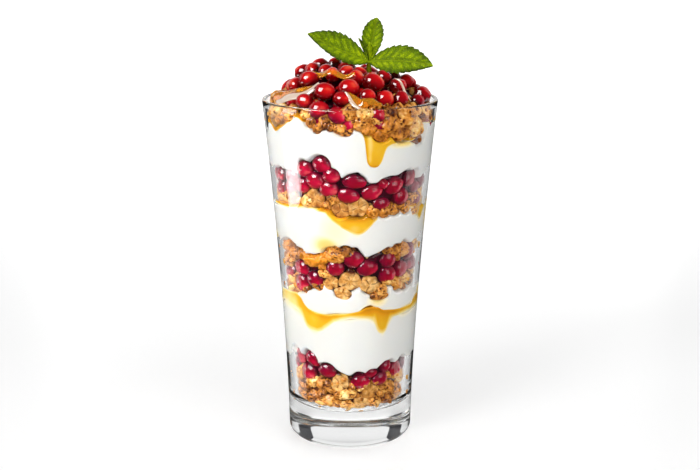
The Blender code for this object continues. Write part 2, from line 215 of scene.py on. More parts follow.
# Where honey has soaked the granola, likewise.
SYRUP_STAINS = (
    (-30, 86, 18, 5, 1.0), (-66, 87, 18, 7, 0.55), (-62, 70, 14, 4, 0.5), (5, 106, 20, 3, 0.7),
    (55, 90, 10, 5, 0.5), (18, 141, 10, 4, 0.5), (130, 88, 25, 5, 0.8), (-120, 110, 25, 4, 0.7),
    (180, 143, 20, 5, 0.6),
)

# Where honey runs down the front of the wall: its lower and upper edge as (angle, height in mm),
# and how softly it fades into the yogurt below, in mm.
HONEY_RUNS = {
    "honey_high": (
        ((8.6, 139), (9.4, 136), (10.6, 130), (12.2, 127.4), (14.4, 126.2), (17.4, 125.8), (20.2, 126.4))
        + ((22.6, 128.2), (24, 131.4), (25.6, 134), (29, 135), (38, 135.4), (46, 135.5), (53, 137)),
        (),
        0.5,
    ),
    "honey_mid": (
        ((-20, 107), (-17.5, 105.4), (-13, 103), (-8, 101), (-4, 99.8), (0, 98.6), (4, 97.7), (7, 97.5))
        + ((10, 98), (13, 99.3), (16, 101), (19, 102.8), (22, 104.2), (25, 105.4), (28, 106.6)),
        (),
        0.9,
    ),
    "honey_low": (
        ((-80, 63), (-60, 62), (-50, 61), (-47, 59.6), (-44, 56.6), (-41, 54.6), (-37, 53.4), (-30, 53.2))
        + ((-25, 54), (-20, 56), (-14, 58.6), (0, 60.4), (17, 59.8), (20.5, 59), (22.6, 56.6), (24, 54.4))
        + ((26.5, 52.9), (30, 52.5), (33, 53.2), (35, 55), (37, 57.8), (39.5, 59.2), (50, 59.4), (68, 59.5)),
        ((-80, 68), (-52, 69), (-46, 67.6), (-42.5, 65), (-38, 63.2), (-30, 62), (-20, 61.6), (0, 62.9))
        + ((9, 63.8), (14, 65), (20, 65.2), (25, 64.8), (29, 63.4), (40, 62.6), (50, 62.4), (68, 62.4)),
        2.2,
    ),
}

# The mint, as its solid in the frame has it. Each leaf: name, length and width in mm, teeth on a
# side, then degrees: heading of the tip from above, climb, droop, roll about the midrib, and fold.
SPRIG_X = 8 * MM
SPRIG_Y = 0.5 * MM
STEM_TOP = 164.8 * MM
LEAVES = (
    ("leaf_left", 29.5, 16.5, 11, 197, 20.5, -9, -44, 14),
    ("leaf_up", 23, 9.5, 9, 76, 64, 28, 14, 38),
    ("leaf_right", 28, 17.5, 11, -18, 9, 20, 38, 8),
    ("leaflet_back", 11, 5, 4, 150, 66, 6, 20, 30),
    ("leaflet_front", 8.5, 4.4, 4, -80, 78, -10, 0, 40),
)

CAMERA_AT = (0, -0.5364, 0.2253)
CAMERA_DIP = 14.2  # degrees that the camera looks down

Spot = namedtuple("Spot", "angle height wide tall deep lean shape tone back")
Placed = namedtuple("Placed", "at turn size shape tone")


# ---------------------------------------------------------------- settings


class TumblerSettings(bpy.types.PropertyGroup):
    """What can be changed about the glass."""

    segments: bpy.props.IntProperty(
        name="Segments", description="Points round the glass", default=192, min=48, max=360
    )
    index: bpy.props.FloatProperty(
        name="Refraction", description="Refractive index of the glass", default=1.5, min=1.3, max=1.7
    )
    tint: bpy.props.FloatVectorProperty(
        name="Tint", description="Colour of the glass", subtype="COLOR", default=(0.985, 0.993, 0.99)
    )


class FillingSettings(bpy.types.PropertyGroup):
    """Sizes and colours of what fills the glass."""

    aril_size: bpy.props.FloatProperty(
        name="Aril", description="Half length of an aril", default=4.2 * MM, unit="LENGTH"
    )
    lump_size: bpy.props.FloatProperty(
        name="Granola", description="Half width of a lump of granola", default=3.3 * MM, unit="LENGTH"
    )
    crumb_size: bpy.props.FloatProperty(
        name="Crumb", description="Half width of a crumb", default=1.1 * MM, unit="LENGTH"
    )
    crumb_density: bpy.props.FloatProperty(
        name="Crumbs", description="Crumbs to a square metre", default=110000.0, min=0.0
    )
    yogurt: bpy.props.FloatVectorProperty(
        name="Yogurt", description="Colour of the yogurt", subtype="COLOR", default=(0.78, 0.78, 0.757)
    )
    honey: bpy.props.FloatVectorProperty(
        name="Honey", description="Colour of thick honey", subtype="COLOR", default=(0.62, 0.27, 0.01)
    )
    aril: bpy.props.FloatVectorProperty(
        name="Arils", description="Colour of the arils", subtype="COLOR", default=(0.46, 0.001, 0.024)
    )
    granola: bpy.props.FloatVectorProperty(
        name="Granola", description="Colour of the granola", subtype="COLOR", default=(0.74, 0.28, 0.035)
    )


class SprigSettings(bpy.types.PropertyGroup):
    """What can be changed about the mint."""

    thickness: bpy.props.FloatProperty(
        name="Leaf", description="Thickness of a leaf", default=0.45 * MM, unit="LENGTH"
    )
    quilting: bpy.props.FloatProperty(
        name="Quilting", description="Rise of the leaf between its veins", default=0.42 * MM, unit="LENGTH"
    )
    green: bpy.props.FloatVectorProperty(
        name="Leaf", description="Colour of the leaves", subtype="COLOR", default=(0.13, 0.235, 0.002)
    )


class StageSettings(bpy.types.PropertyGroup):
    """Floor, lights and camera."""

    sky: bpy.props.FloatProperty(
        name="Sky", description="Brightness of the light from all round", default=0.36, min=0.0
    )
    room: bpy.props.FloatProperty(
        name="Room", description="Brightness of the room that glossy things mirror", default=0.06, min=0.0
    )
    key_power: bpy.props.FloatProperty(
        name="Key light", description="Power of the light from the left", default=3.0, unit="POWER"
    )
    softbox: bpy.props.FloatProperty(
        name="Softbox", description="Brightness of the box that shiny things mirror", default=14.0, min=0
    )
    fill_power: bpy.props.FloatProperty(
        name="Fill light", description="Power of the light from the right", default=3.9, unit="POWER"
    )
    top_power: bpy.props.FloatProperty(
        name="Top light", description="Power of the light from above", default=7.5, unit="POWER"
    )
    lens: bpy.props.FloatProperty(name="Lens", description="Focal length in mm", default=65.2)


# ---------------------------------------------------------------- the glass and its layers


def outer_radius(z):
    """The glass's outside at a height."""
    share = np.maximum(z, 0.0) / GLASS_HEIGHT
    return FOOT_RADIUS + (RIM_RADIUS - FOOT_RADIUS) * share**FLARE


def inner_radius(z):
    """The glass's inside at a height, with the rounded corner above its floor."""
    above = (GLASS_HEIGHT - z) / (GLASS_HEIGHT - FLOOR_HEIGHT)
    wall = WALL_AT_RIM + (WALL_AT_FLOOR - WALL_AT_RIM) * above**WALL_THINNING
    below = np.clip(FLOOR_HEIGHT + FLOOR_CORNER - z, 0.0, FLOOR_CORNER)
    corner = FLOOR_CORNER - np.sqrt(FLOOR_CORNER**2 - below**2)
    return outer_radius(z) - wall - corner


def at_wall(angle, radius, z):
    """The point at an angle from the front in degrees, a radius from the axis and a height."""
    turn = np.radians(angle)
    return radius * np.sin(turn), -radius * np.cos(turn), z


def steps(low, high, count):
    """Evenly spaced values from low to high, both included."""
    return [low + (high - low) * i / (count - 1) for i in range(count)]


def rows_of(items, key):
    """One vector of each item, in rows of x, y, z."""
    found = np.empty(len(items) * 3, np.float32)
    items.foreach_get(key, found)
    return found.reshape(-1, 3).astype(np.float64)


def points_of(mesh):
    return rows_of(mesh.vertices, "co")


def angle_of(points):
    """The angle of each point from the front in degrees."""
    return np.degrees(np.arctan2(points[:, 0], -points[:, 1]))


def wrapped(angle):
    """An angle in degrees brought between -180 and 180."""
    return (angle + 180) % 360 - 180


def round_angles(count):
    """Even angles all round."""
    return np.linspace(-180, 180, count, endpoint=False)


@lru_cache(None)
def edges_of(name):
    """A CAD layer's lower and upper edge along the wall, as heights at even angles, and its poles."""
    points = points_of(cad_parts[name].data)
    radius = np.hypot(points[:, 0], points[:, 1])
    on_wall = np.abs(radius - inner_radius(points[:, 2]) + GAP) < 0.5 * GAP
    angle = angle_of(points)
    place = np.round((angle + 180) / 360 * RING).astype(int) % RING
    low, high = np.empty(RING), np.empty(RING)
    for i in range(RING):
        heights = points[on_wall & (place == i), 2]
        low[i], high[i] = heights.min(), heights.max()
    poles = points[radius < 0.01 * MM, 2]
    return low, high, poles.min(), poles.max()


def along(ring, angle):
    """A smooth curve through values at even angles, read at any angle in degrees."""
    place = (np.asarray(angle, float) + 180) / 360 * RING
    first = np.floor(place).astype(int)
    t = place - first
    a, b, c, d = (ring[(first + i) % RING] for i in (-1, 0, 1, 2))
    return b + 0.5 * t * (c - a + t * (2 * a - 5 * b + 4 * c - d + t * (3 * (b - c) + d - a)))


def low_edge(name, angle):
    return along(edges_of(name)[0], angle)


def high_edge(name, angle):
    return along(edges_of(name)[1], angle)


@lru_cache(None)
def node_tree(name):
    """A CAD node's surface, to be looked up by ray."""
    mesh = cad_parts[name].data
    return BVHTree.FromPolygons([v.co for v in mesh.vertices], [p.vertices for p in mesh.polygons])


def top_of(name, x, y):
    """The highest point of a CAD node over a place and the normal there, or None."""
    hit, normal, _, _ = node_tree(name).ray_cast(Vector((x, y, 1)), Vector((0, 0, -1)))
    return None if hit is None else (hit, normal if normal.z > 0 else -normal)


# ---------------------------------------------------------------- meshes


def add_piece(name, mesh, material, replaced=()):
    """A finished piece, which rides on the one body and stands for the nodes replaced."""
    mesh.name = name
    made = bpy.data.objects.new(name, mesh)
    bpy.context.scene.collection.objects.link(made)
    if material is not None:
        mesh.materials.clear()
        mesh.materials.append(material)
    mesh.shade_smooth()
    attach(made, "root")
    if replaced:
        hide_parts(*replaced)
    return made


def paint(mesh, name, values):
    """Stores one number for each point of a mesh, or the same number for all."""
    layer = mesh.attributes.get(name) or mesh.attributes.new(name, "FLOAT", "POINT")
    values = np.broadcast_to(np.asarray(values, np.float32), len(mesh.vertices))
    layer.data.foreach_set("value", np.ascontiguousarray(values))


def grid_mesh(name, rows):
    """A closed mesh over rings of points, each an array of x, y, z, with a point at either end."""
    rows = np.asarray(rows)
    count, columns = rows.shape[:2]
    points = rows.reshape(-1, 3)
    i = np.arange(columns)
    j = (i + 1) % columns
    faces = []
    for low in range(0, (count - 1) * columns, columns):
        high = low + columns
        faces += np.stack([low + i, low + j, high + j, high + i], axis=1).tolist()
    first, last, top = len(points), len(points) + 1, (count - 1) * columns
    points = np.concatenate([points, [rows[0].mean(axis=0)], [rows[-1].mean(axis=0)]])
    faces += np.stack([j, i, np.full(columns, first)], axis=1).tolist()
    faces += np.stack([top + i, top + j, np.full(columns, last)], axis=1).tolist()
    mesh = bpy.data.meshes.new(name)
    mesh.from_pydata(points.tolist(), [], faces)
    face_outwards(mesh)
    return mesh


def face_outwards(mesh):
    """Turns a closed mesh's faces outwards."""
    maker = bmesh.new()
    maker.from_mesh(mesh)
    bmesh.ops.recalc_face_normals(maker, faces=maker.faces)
    maker.to_mesh(mesh)
    maker.free()


def unit(rows):
    """Vectors in rows brought to length one."""
    return rows / np.linalg.norm(rows, axis=1)[:, None]


def ripple(angle, z, seed):
    """A soft unevenness along the wall between -1 and 1, with no step behind."""
    turn = np.radians(angle)
    height = z / (7.0 * MM)
    return (
        np.sin(5 * turn + height + seed)
        + np.sin(11 * turn - 1.3 * height + 2.1 * seed)
        + np.sin(17 * turn + 2.2 * height + 3.7 * seed)
        + np.sin(29 * turn - 2.9 * height + 0.7 * seed)
    ) / 4


def ring_at(angles, radius, z):
    """Points round the axis, in rows of x, y, z."""
    return np.stack(np.broadcast_arrays(*at_wall(angles, radius, z)), axis=1)


def cad_edges(layer, angles):
    return low_edge(layer, angles), high_edge(layer, angles)


def poured(name, layer, reach, build, edges=cad_edges):
    """A layer from wall to wall between the edges of its CAD node, or between other edges.

    It reaches that far into the wall, or stays back from it, and closes round its neighbours' pieces.
    """
    columns, row, rounding, rough = build
    angles = round_angles(columns)
    low, high = edges(layer, angles)
    pole_low, pole_high = edges_of(layer)[2:]
    bend = np.minimum(rounding, (high - low) * 0.45)
    shares, turns = (0.2, 0.45, 0.65, 0.82, 0.92), steps(0, math.pi / 2, 4)
    count = max(int(np.max(high - low - 2 * bend) / row), 1)
    rows = []

    def add(z, inset=0.0, share=1.0):
        rows.append(((inner_radius(z) + reach) * share - inset, z))

    for share in shares:
        add(pole_low + (low - pole_low) * share, share=share)
    for turn in turns:
        add(low + bend * (1 - math.cos(turn)), bend * (1 - math.sin(turn)))
    for i in range(1, count):
        add(low + bend + (high - low - 2 * bend) * i / count)
    for turn in turns[::-1]:
        add(high - bend * (1 - math.cos(turn)), bend * (1 - math.sin(turn)))
    for share in shares[::-1]:
        add(pole_high + (high - pole_high) * share, share=share)
    radius, height = (np.array([np.broadcast_to(pair[side], columns) for pair in rows]) for side in (0, 1))
    outer = slice(len(shares), len(rows) - len(shares))
    if rough:
        radius[outer] -= rough * (1 + ripple(angles[None, :], height[outer], len(layer)))
    dents = [spot for near in NEIGHBOURS.get(layer, ()) for spot in all_spots(near)]
    radius[outer] -= dent_depth(angles, height[outer], dents)
    return grid_mesh(name, [ring_at(angles, *pair) for pair in zip(radius, height)])


def dent_depth(angles, height, dents):
    """How far each point of a wall gives way to the pieces pressed against it."""
    depth = np.zeros_like(height)
    for spot in dents:
        aside = wrapped(angles - spot.angle)
        near = np.flatnonzero(np.abs(aside) < 25)
        if not len(near):
            continue
        level = height[:, near]
        x = np.radians(aside[near])[None, :] * inner_radius(level)
        z = level - spot.height
        lean = math.radians(spot.lean)
        u = (x * math.cos(lean) - z * math.sin(lean)) / spot.wide
        v = (x * math.sin(lean) + z * math.cos(lean)) / spot.tall
        away = np.sqrt(u**2 + v**2)
        share = np.clip((1.2 - away) / 0.34, 0, 1)
        share = share * share * (3 - 2 * share) * (spot.back < 2 * MM)
        depth[:, near] = np.maximum(depth[:, near], share * spot.deep * 1.35)
    return depth


def stain(mesh, name, stains, edge_of=()):
    """Paints soft spots along the wall, and a soft edge next to the honey layers named."""
    points = points_of(mesh)
    angle = angle_of(points)
    z = points[:, 2]
    value = np.zeros(len(points))
    for middle, height, wide, tall, strength in stains:
        aside = wrapped(angle - middle)
        away = (aside / wide) ** 2 + ((z / MM - height) / tall) ** 2
        value = np.maximum(value, strength * np.exp(-1.5 * away**1.3))
    for layer, fade in edge_of:
        low, high = low_edge(layer, angle), high_edge(layer, angle)
        gap = np.maximum(np.maximum(low - z, z - high), 0)
        thick = np.clip((high - low) / (3 * MM), 0, 1)
        value = np.maximum(value, 0.75 * thick * np.exp(-gap / fade))
    paint(mesh, name, value)


# ---------------------------------------------------------------- shapes that repeat


def ball(way_to_point, **settings):
    """A bmesh ball with each point moved from its direction to where it belongs."""
    maker = bmesh.new()
    if "subdivisions" in settings:
        bmesh.ops.create_icosphere(maker, radius=1, **settings)
    else:
        bmesh.ops.create_uvsphere(maker, radius=1, **settings)
        bmesh.ops.rotate(maker, verts=maker.verts, matrix=Matrix.Rotation(math.pi / 2, 3, "Y"))
    for vert in maker.verts:
        vert.co = way_to_point(vert.co.normalized())
    return maker


def aril_shape(index):
    """One aril: a plump drop with blunt facets where its neighbours pressed on it."""
    shift = Vector((3.1 * index, 1.7, 0.4))

    def point(way):
        blunt = 1 - 0.10 * max(0.0, noise.noise(way * 1.3 + shift)) * 2
        drop = 1 - (0.07 + 0.04 * index) * max(way.x, 0) ** 2
        return Vector((way.x * 1.04, way.y * drop, way.z * drop)) * blunt

    return finish_shape(ball(point, u_segments=16, v_segments=10), f"aril_{index}")


def lump_shape(index, subdivisions=3):
    """One lump of granola: puffed grains baked together, with creases between them that are painted dark as
    shade.
    """
    shift = Vector((5.3 * index, -2.7 * index, 1.9))
    pit_shades = []

    def point(way):
        swell = 0.22 * noise.noise(way * 1.3 + shift)
        crease = math.exp(-((noise.noise(way * (1.7 + 0.12 * index) - shift) / 0.075) ** 2))
        fine = 0.05 * noise.noise(way * 4.0 + shift) + 0.02 * noise.noise(way * 9.0 - shift)
        # Painted shade: how dark the crease is painted
        pit_shades.append(min(max(crease * 1.15 - 0.2, 0), 1))
        return way * (1.02 + swell - 0.36 * crease + fine)

    shape = finish_shape(ball(point, subdivisions=subdivisions), f"lump_{index}")
    paint(shape.data, "pit_shade", pit_shades)
    return shape


def crumb_shape(index):
    """A crumb, with few faces because hundreds are scattered."""
    shift = Vector((2.3 * index, 4.1, -1.7 * index))

    def point(way):
        return way * (0.85 + 0.5 * noise.noise(way * 1.7 + shift))

    return finish_shape(ball(point, subdivisions=1), f"crumb_{index}")


def flake_dome(share):
    """Half the thickness of a flake at a share of its radius."""
    return 0.36 * np.sqrt(np.clip(1 - share**4, 0, 1)) + 0.05 * share


def flake_shape(index):
    """A rolled oat flake: a thick round disc, split from its middle, with a rounded rim."""
    rings, around = 10, 40
    rng = random.Random(40 + index)
    splits = (6, 7, 2, 3)[index]
    curve, wide, deep = (0.12, 0.2, 0.1) if splits > 4 else (0.4, 0.13, 0.2)
    phase, wobble = rng.uniform(0, 6), rng.uniform(0, 6)
    maker = bmesh.new()

    def point(i, j, side):
        share, turn = math.sin(0.5 * math.pi * i / rings), 2 * math.pi * j / around
        edge = 1 + 0.07 * math.sin(2 * turn + wobble) + 0.05 * math.sin(5 * turn + phase)
        bend = curve * math.sin(2.5 * share + phase)
        split = abs(math.sin(0.5 * splits * (turn + bend) + phase)) * (0.4 + share)
        groove = math.exp(-((split / wide) ** 2)) * min(share * 3, 1) * (1 - share**8)
        wave = 0.07 * math.sin(3 * turn + 5 * share + phase) * share
        lift = float(flake_dome(share)) + wave - deep * groove
        return maker.verts.new((share * edge * math.cos(turn), side * lift, share * edge * math.sin(turn)))

    sides = [
        [[point(i, j, side) for j in range(around if i else 1)] for i in range(rings + 1)] for side in (-1, 1)
    ]
    for rows in sides:
        for low, high in zip(rows, rows[1:]):
            for j in range(around):
                k = (j + 1) % around
                corners = [low[0], high[j], high[k]] if len(low) == 1 else [low[j], high[j], high[k], low[k]]
                maker.faces.new(corners)
    bmesh.ops.remove_doubles(maker, verts=maker.verts, dist=1e-5)
    front, back = sides[0][-1], sides[1][-1]
    for j in range(around):
        k = (j + 1) % around
        if front[j].is_valid and back[j].is_valid and front[j] is not back[j]:
            maker.faces.new([front[j], front[k], back[k], back[j]])
    shape = finish_shape(maker, f"flake_{index}")
    points = points_of(shape.data)
    share = np.hypot(points[:, 0], points[:, 2])
    # Painted shade in the splits, away from the rim
    split = np.clip((flake_dome(share) - np.abs(points[:, 1])) / 0.12, 0, 1)
    paint(shape.data, "pit_shade", split * (share < 0.96))
    return shape


def finish_shape(maker, name):
    """The mesh object of a shape, with its faces outwards, outside the scene."""
    bmesh.ops.recalc_face_normals(maker, faces=maker.faces)
    mesh = bpy.data.meshes.new(name)
    maker.to_mesh(mesh)
    maker.free()
    mesh.shade_smooth()
    return bpy.data.objects.new(name, mesh)


def shapes_of(kind):
    """A collection of shapes that isn't in the scene, for the node trees to pick from."""
    made = bpy.data.collections.get(kind)
    if made is None:
        made = bpy.data.collections.new(kind)
        for shape in SHAPES[kind]():
            made.objects.link(shape)
    return made


SHAPES = {
    "aril shapes": lambda: [aril_shape(i) for i in range(4)],
    "lump shapes": lambda: [lump_shape(i) for i in range(8)],
    "cluster shapes": lambda: [lump_shape(i, 4) for i in (1, 3, 5, 7)],
    "flake shapes": lambda: [flake_shape(i) for i in range(4)],
    "crumb shapes": lambda: [crumb_shape(i) for i in range(5)],
}


# ---------------------------------------------------------------- node trees


def set_inputs(made, values):
    """Gives a node a value or a link for each socket named or numbered."""
    for name, value in values.items():
        if isinstance(value, bpy.types.NodeSocket):
            made.id_data.links.new(value, made.inputs[name])
        else:
            made.inputs[name].default_value = value


def add_node(tree, kind, sockets=None, **settings):
    """A node with settings and inputs."""
    made = tree.nodes.new(kind)
    for name, value in settings.items():
        setattr(made, name, value)
    set_inputs(made, sockets or {})
    return made


def named(tree, name, kind):
    return add_node(tree, "GeometryNodeInputNamedAttribute", {"Name": name}, data_type=kind).outputs[0]


def growing_tree(name, sockets, place):
    """A node tree with named inputs, built once: shapes on points, made real, smooth and coloured."""
    tree = bpy.data.node_groups.get(name)
    if tree:
        return tree
    tree = bpy.data.node_groups.new(name, "GeometryNodeTree")
    for socket, kind, default in (*sockets, ("Shapes", "Collection", None), ("Finish", "Material", None)):
        made = tree.interface.new_socket(socket, in_out="INPUT", socket_type="NodeSocket" + kind)
        if default is not None:
            made.default_value = default
    tree.interface.new_socket("Pieces", in_out="OUTPUT", socket_type="NodeSocketGeometry")
    given = add_node(tree, "NodeGroupInput").outputs
    chosen = {"Collection": given["Shapes"], "Separate Children": True, "Reset Children": True}
    shapes = add_node(tree, "GeometryNodeCollectionInfo", chosen).outputs[0]
    settings = {"Instance": shapes, "Pick Instance": True, **place(tree, given)}
    placed = add_node(tree, "GeometryNodeInstanceOnPoints", settings)
    real = add_node(tree, "GeometryNodeRealizeInstances", {"Geometry": placed.outputs[0]})
    smooth = add_node(tree, "GeometryNodeSetShadeSmooth", {0: real.outputs[0]})
    finish = {"Geometry": smooth.outputs[0], "Material": given["Finish"]}
    coloured = add_node(tree, "GeometryNodeSetMaterial", finish)
    add_node(tree, "NodeGroupOutput", {0: coloured.outputs[0]})
    return tree


def placing_tree():
    """Sets a shape on each point of a mesh, as the point's own attributes say."""

    def place(tree, given):
        turn = add_node(tree, "FunctionNodeEulerToRotation", {0: named(tree, "turn", "FLOAT_VECTOR")})
        growth = {0: named(tree, "size", "FLOAT_VECTOR"), "Scale": given["Growth"]}
        size = add_node(tree, "ShaderNodeVectorMath", growth, operation="SCALE")
        return {
            "Points": given["Points"],
            "Instance Index": named(tree, "shape", "INT"),
            "Rotation": turn.outputs[0],
            "Scale": size.outputs[0],
        }

    return growing_tree("Placed pieces", (("Points", "Geometry", None), ("Growth", "Float", 1.0)), place)


def scatter_tree():
    """Scatters shapes over a surface, more thickly where its attribute "spread" is high."""

    def place(tree, given):
        seed = given["Seed"]
        density = maths(tree, "MULTIPLY", named(tree, "spread", "FLOAT"), given["Density"])
        spread = {"Mesh": given["Surface"], "Density": density, "Seed": seed}
        points = add_node(tree, "GeometryNodeDistributePointsOnFaces", spread).outputs[0]
        turn = random_value(tree, "FLOAT_VECTOR", (0, 0, 0), (6.28, 6.28, 6.28), seed, 1)
        grow = random_value(tree, "FLOAT", 0.55, 1.35, seed, 2)
        toned = {"Geometry": points, "Name": "tone", "Value": random_value(tree, "FLOAT", 0.0, 1.0, seed, 3)}
        return {
            "Points": add_node(tree, "GeometryNodeStoreNamedAttribute", toned).outputs[0],
            "Rotation": add_node(tree, "FunctionNodeEulerToRotation", {0: turn}).outputs[0],
            "Scale": maths(tree, "MULTIPLY", grow, given["Size"]),
        }

    sockets = (
        ("Surface", "Geometry", None),
        ("Density", "Float", 100000.0),
        ("Size", "Float", 1 * MM),
        ("Seed", "Int", 1),
    )
    return growing_tree("Scattered crumbs", sockets, place)


def random_value(tree, kind, low, high, seed, offset):
    """A random number or vector for each point, from the tree's seed and an offset."""
    first = 0 if kind == "FLOAT_VECTOR" else 2
    values = {first: low, first + 1: high, "Seed": maths(tree, "ADD", seed, float(offset))}
    made = add_node(tree, "FunctionNodeRandomValue", values, data_type=kind)
    return next(out for out in made.outputs if out.enabled)


def grown(mesh, tree, **values):
    """The plain mesh that a node tree makes of a mesh, with the tree's inputs set by name."""
    carrier = bpy.data.objects.new("carrier", mesh)
    bpy.context.scene.collection.objects.link(carrier)
    modifier = carrier.modifiers.new("grow", "NODES")
    modifier.node_group = tree
    for item in tree.interface.items_tree:
        if item.item_type == "SOCKET" and item.in_out == "INPUT" and item.name in values:
            modifier[item.identifier] = values[item.name]
    bpy.context.view_layer.update()
    graph = bpy.context.evaluated_depsgraph_get()
    made = bpy.data.meshes.new_from_object(carrier.evaluated_get(graph))
    bpy.data.objects.remove(carrier)
    if not made.polygons:
        raise RuntimeError(f"{tree.name} made nothing")
    return made


def placed_mesh(pieces, kind, material):
    """One mesh of all the pieces placed."""
    points = bpy.data.meshes.new("points")
    points.from_pydata([tuple(piece.at) for piece in pieces], [], [])
    for name, kind_of, key, number in (
        ("turn", "FLOAT_VECTOR", "vector", np.float32),
        ("size", "FLOAT_VECTOR", "vector", np.float32),
        ("shape", "INT", "value", np.int32),
        ("tone", "FLOAT", "value", np.float32),
    ):
        values = np.array([getattr(piece, name) for piece in pieces]).reshape(-1)
        points.attributes.new(name, kind_of, "POINT").data.foreach_set(key, values.astype(number))
    return grown(points, placing_tree(), Shapes=shapes_of(kind), Growth=1.0, Finish=material)


# ---------------------------------------------------------------- where the pieces lie


def placed_on_wall(spot):
    """Where a spot's piece stands: against the wall, turned to face outwards."""
    radius = float(inner_radius(spot.height)) - spot.back - spot.deep
    at = at_wall(spot.angle, radius, spot.height)
    turn = (0.0, math.radians(spot.lean), math.radians(spot.angle))
    return Placed(at, turn, (spot.wide, spot.deep, spot.tall), spot.shape % SHAPES_ON_WALL, spot.tone)


def spot_distance(angle, height, spot):
    aside = math.radians(wrapped(angle - spot.angle)) * float(inner_radius(height))
    return math.hypot(aside, height - spot.height)


def fill_wall(layer, sizes, taken, seed, squash, low=None):
    """Spots for pieces of falling size all round a layer, clear of those already taken."""
    rng = random.Random(seed)
    found = list(taken)
    low = low or (lambda angle: float(low_edge(layer, angle)))
    made = []
    for half, tries, back in sizes:
        for _ in range(tries):
            angle = rng.uniform(-180, 180)
            bottom, top = low(angle) + half * 0.75, float(high_edge(layer, angle)) - half * 0.75
            if top < bottom:
                if top < bottom - half:
                    continue
                bottom = top = (bottom + top) / 2
            height = rng.uniform(bottom, top)
            size = half * rng.uniform(0.85, 1.15)
            if any(spot_distance(angle, height, s) < (size + min(s.wide, s.tall)) * squash for s in found):
                continue
            half_sizes = [size * rng.uniform(*span) for span in ((0.95, 1.15), (0.8, 0.95), (0.75, 0.9))]
            chance = (rng.uniform(-60, 60), rng.randrange(8), rng.random())
            spot = Spot(angle, height, *half_sizes, *chance, back + rng.uniform(-0.1, 0.5) * MM)
            found.append(spot)
            made.append(spot)
    return made


def front_spots(table, layer, deep, seed, grow=1.0):
    """The spots that a table of front pieces gives for a layer."""
    rng = random.Random(seed)
    made = []
    for angle, height, wide, tall, lean in table.get(layer, ()):
        size = (grow * wide * MM, grow * tall * MM, deep * min(wide, tall) * MM)
        chance = (rng.randrange(8), rng.random(), rng.uniform(-0.15, 0.15) * MM)
        made.append(Spot(angle, height * MM, *size, lean, *chance))
    return made


@lru_cache(None)
def aril_spots(layer):
    """All the arils of a layer that lie against the wall."""
    half = bpy.context.scene.parfait_filling.aril_size
    seed = SEEDS["arils"] + ARIL_LAYERS.index(layer)
    front = front_spots(FRONT_ARILS, layer, 0.85, seed, 1.1)
    sizes = ((half, 900, 0.0), (half * 0.86, 700, 0.1 * MM), (half * 0.7, 900, 0.5 * MM))
    return front + fill_wall(layer, sizes, front, seed, squash=0.88)


@lru_cache(None)
def flake_spots(layer):
    """The oat flakes of a granola layer that lie against the wall."""
    seed = SEEDS["flakes"] + GRANOLAS.index(layer)
    made = front_spots(FRONT_FLAKES, layer, 0.62, seed)
    rng = random.Random(seed)
    for _ in range(40):
        angle = wrapped(rng.uniform(70, 290))
        rng.random()  # a draw of no use, kept because those after it depend on it
        low, high = float(low_edge(layer, angle)), float(high_edge(layer, angle))
        half = rng.uniform(3.0, 4.1) * MM
        if high - low < 1.5 * half:
            continue
        roomy = high - low > 1.7 * half
        height = rng.uniform(low + half * 0.8, high - half * 0.8) if roomy else (low + high) / 2
        if any(spot_distance(angle, height, s) < 2.6 * half for s in made):
            continue
        size = (half, half * rng.uniform(0.8, 1), half * 0.55)
        chance = (rng.uniform(-60, 60), rng.randrange(8), rng.random(), rng.uniform(-0.1, 0.2) * MM)
        made.append(Spot(angle, height, *size, *chance))
    return made


@lru_cache(None)
def lump_spots(layer):
    """The lumps of a granola layer that lie against the wall."""
    half = bpy.context.scene.parfait_filling.lump_size
    seed = SEEDS["lumps"] + GRANOLAS.index(layer)
    front = front_spots(FRONT_LUMPS, layer, 0.85, seed)
    on_floor = (lambda angle: FLOOR_HEIGHT + 0.5 * MM) if layer == "granola_low" else None
    sizes = ((half, 500, 0.1 * MM), (half * 0.72, 700, 0.2 * MM), (half * 0.5, 900, 0.3 * MM))
    return front + fill_wall(layer, sizes, flake_spots(layer) + front, seed, squash=0.86, low=on_floor)


def all_spots(layer):
    """Every piece of a layer that the yogurt next to it closes round."""
    if layer in ARIL_LAYERS:
        return aril_spots(layer)
    return flake_spots(layer) + lump_spots(layer)


# ---------------------------------------------------------------- materials


def material(name):
    """Turns a function that sets up nodes into one that gives the material, built once."""

    def wrap(build):
        def given():
            made = bpy.data.materials.get(name)
            if made is None:
                made = bpy.data.materials.new(name)
                made.use_nodes = True
                build(made.node_tree, made.node_tree.nodes["Principled BSDF"])
            return made

        return given

    return wrap


def object_noise(tree, scale, detail=2.0, roughness=0.5):
    """Noise over the object's own coordinates."""
    where = add_node(tree, "ShaderNodeTexCoord").outputs["Object"]
    settings = {"Vector": where, "Scale": scale, "Detail": detail, "Roughness": roughness, "Distortion": 0.0}
    return add_node(tree, "ShaderNodeTexNoise", settings).outputs["Fac"]


def attribute(tree, name):
    return add_node(tree, "ShaderNodeAttribute", attribute_name=name).outputs["Fac"]


def ramp(tree, value, *stops):
    """A colour ramp through (place, colour) stops."""
    made = add_node(tree, "ShaderNodeValToRGB", {"Fac": value})
    band = made.color_ramp
    band.elements.remove(band.elements[-1])
    band.elements[0].position = stops[0][0]
    band.elements[0].color = (*stops[0][1], 1)
    for place, colour in stops[1:]:
        band.elements.new(place).color = (*colour, 1)
    return made.outputs["Color"]


def mixed(tree, share, first, second):
    """A blend of two colours."""
    sides = [value if isinstance(value, bpy.types.NodeSocket) else (*value, 1) for value in (first, second)]
    return add_node(tree, "ShaderNodeMix", {0: share, 6: sides[0], 7: sides[1]}, data_type="RGBA").outputs[2]


def mixed_value(tree, share, first, second):
    """A blend of two numbers."""
    return add_node(tree, "ShaderNodeMix", {0: share, 2: first, 3: second}).outputs[0]


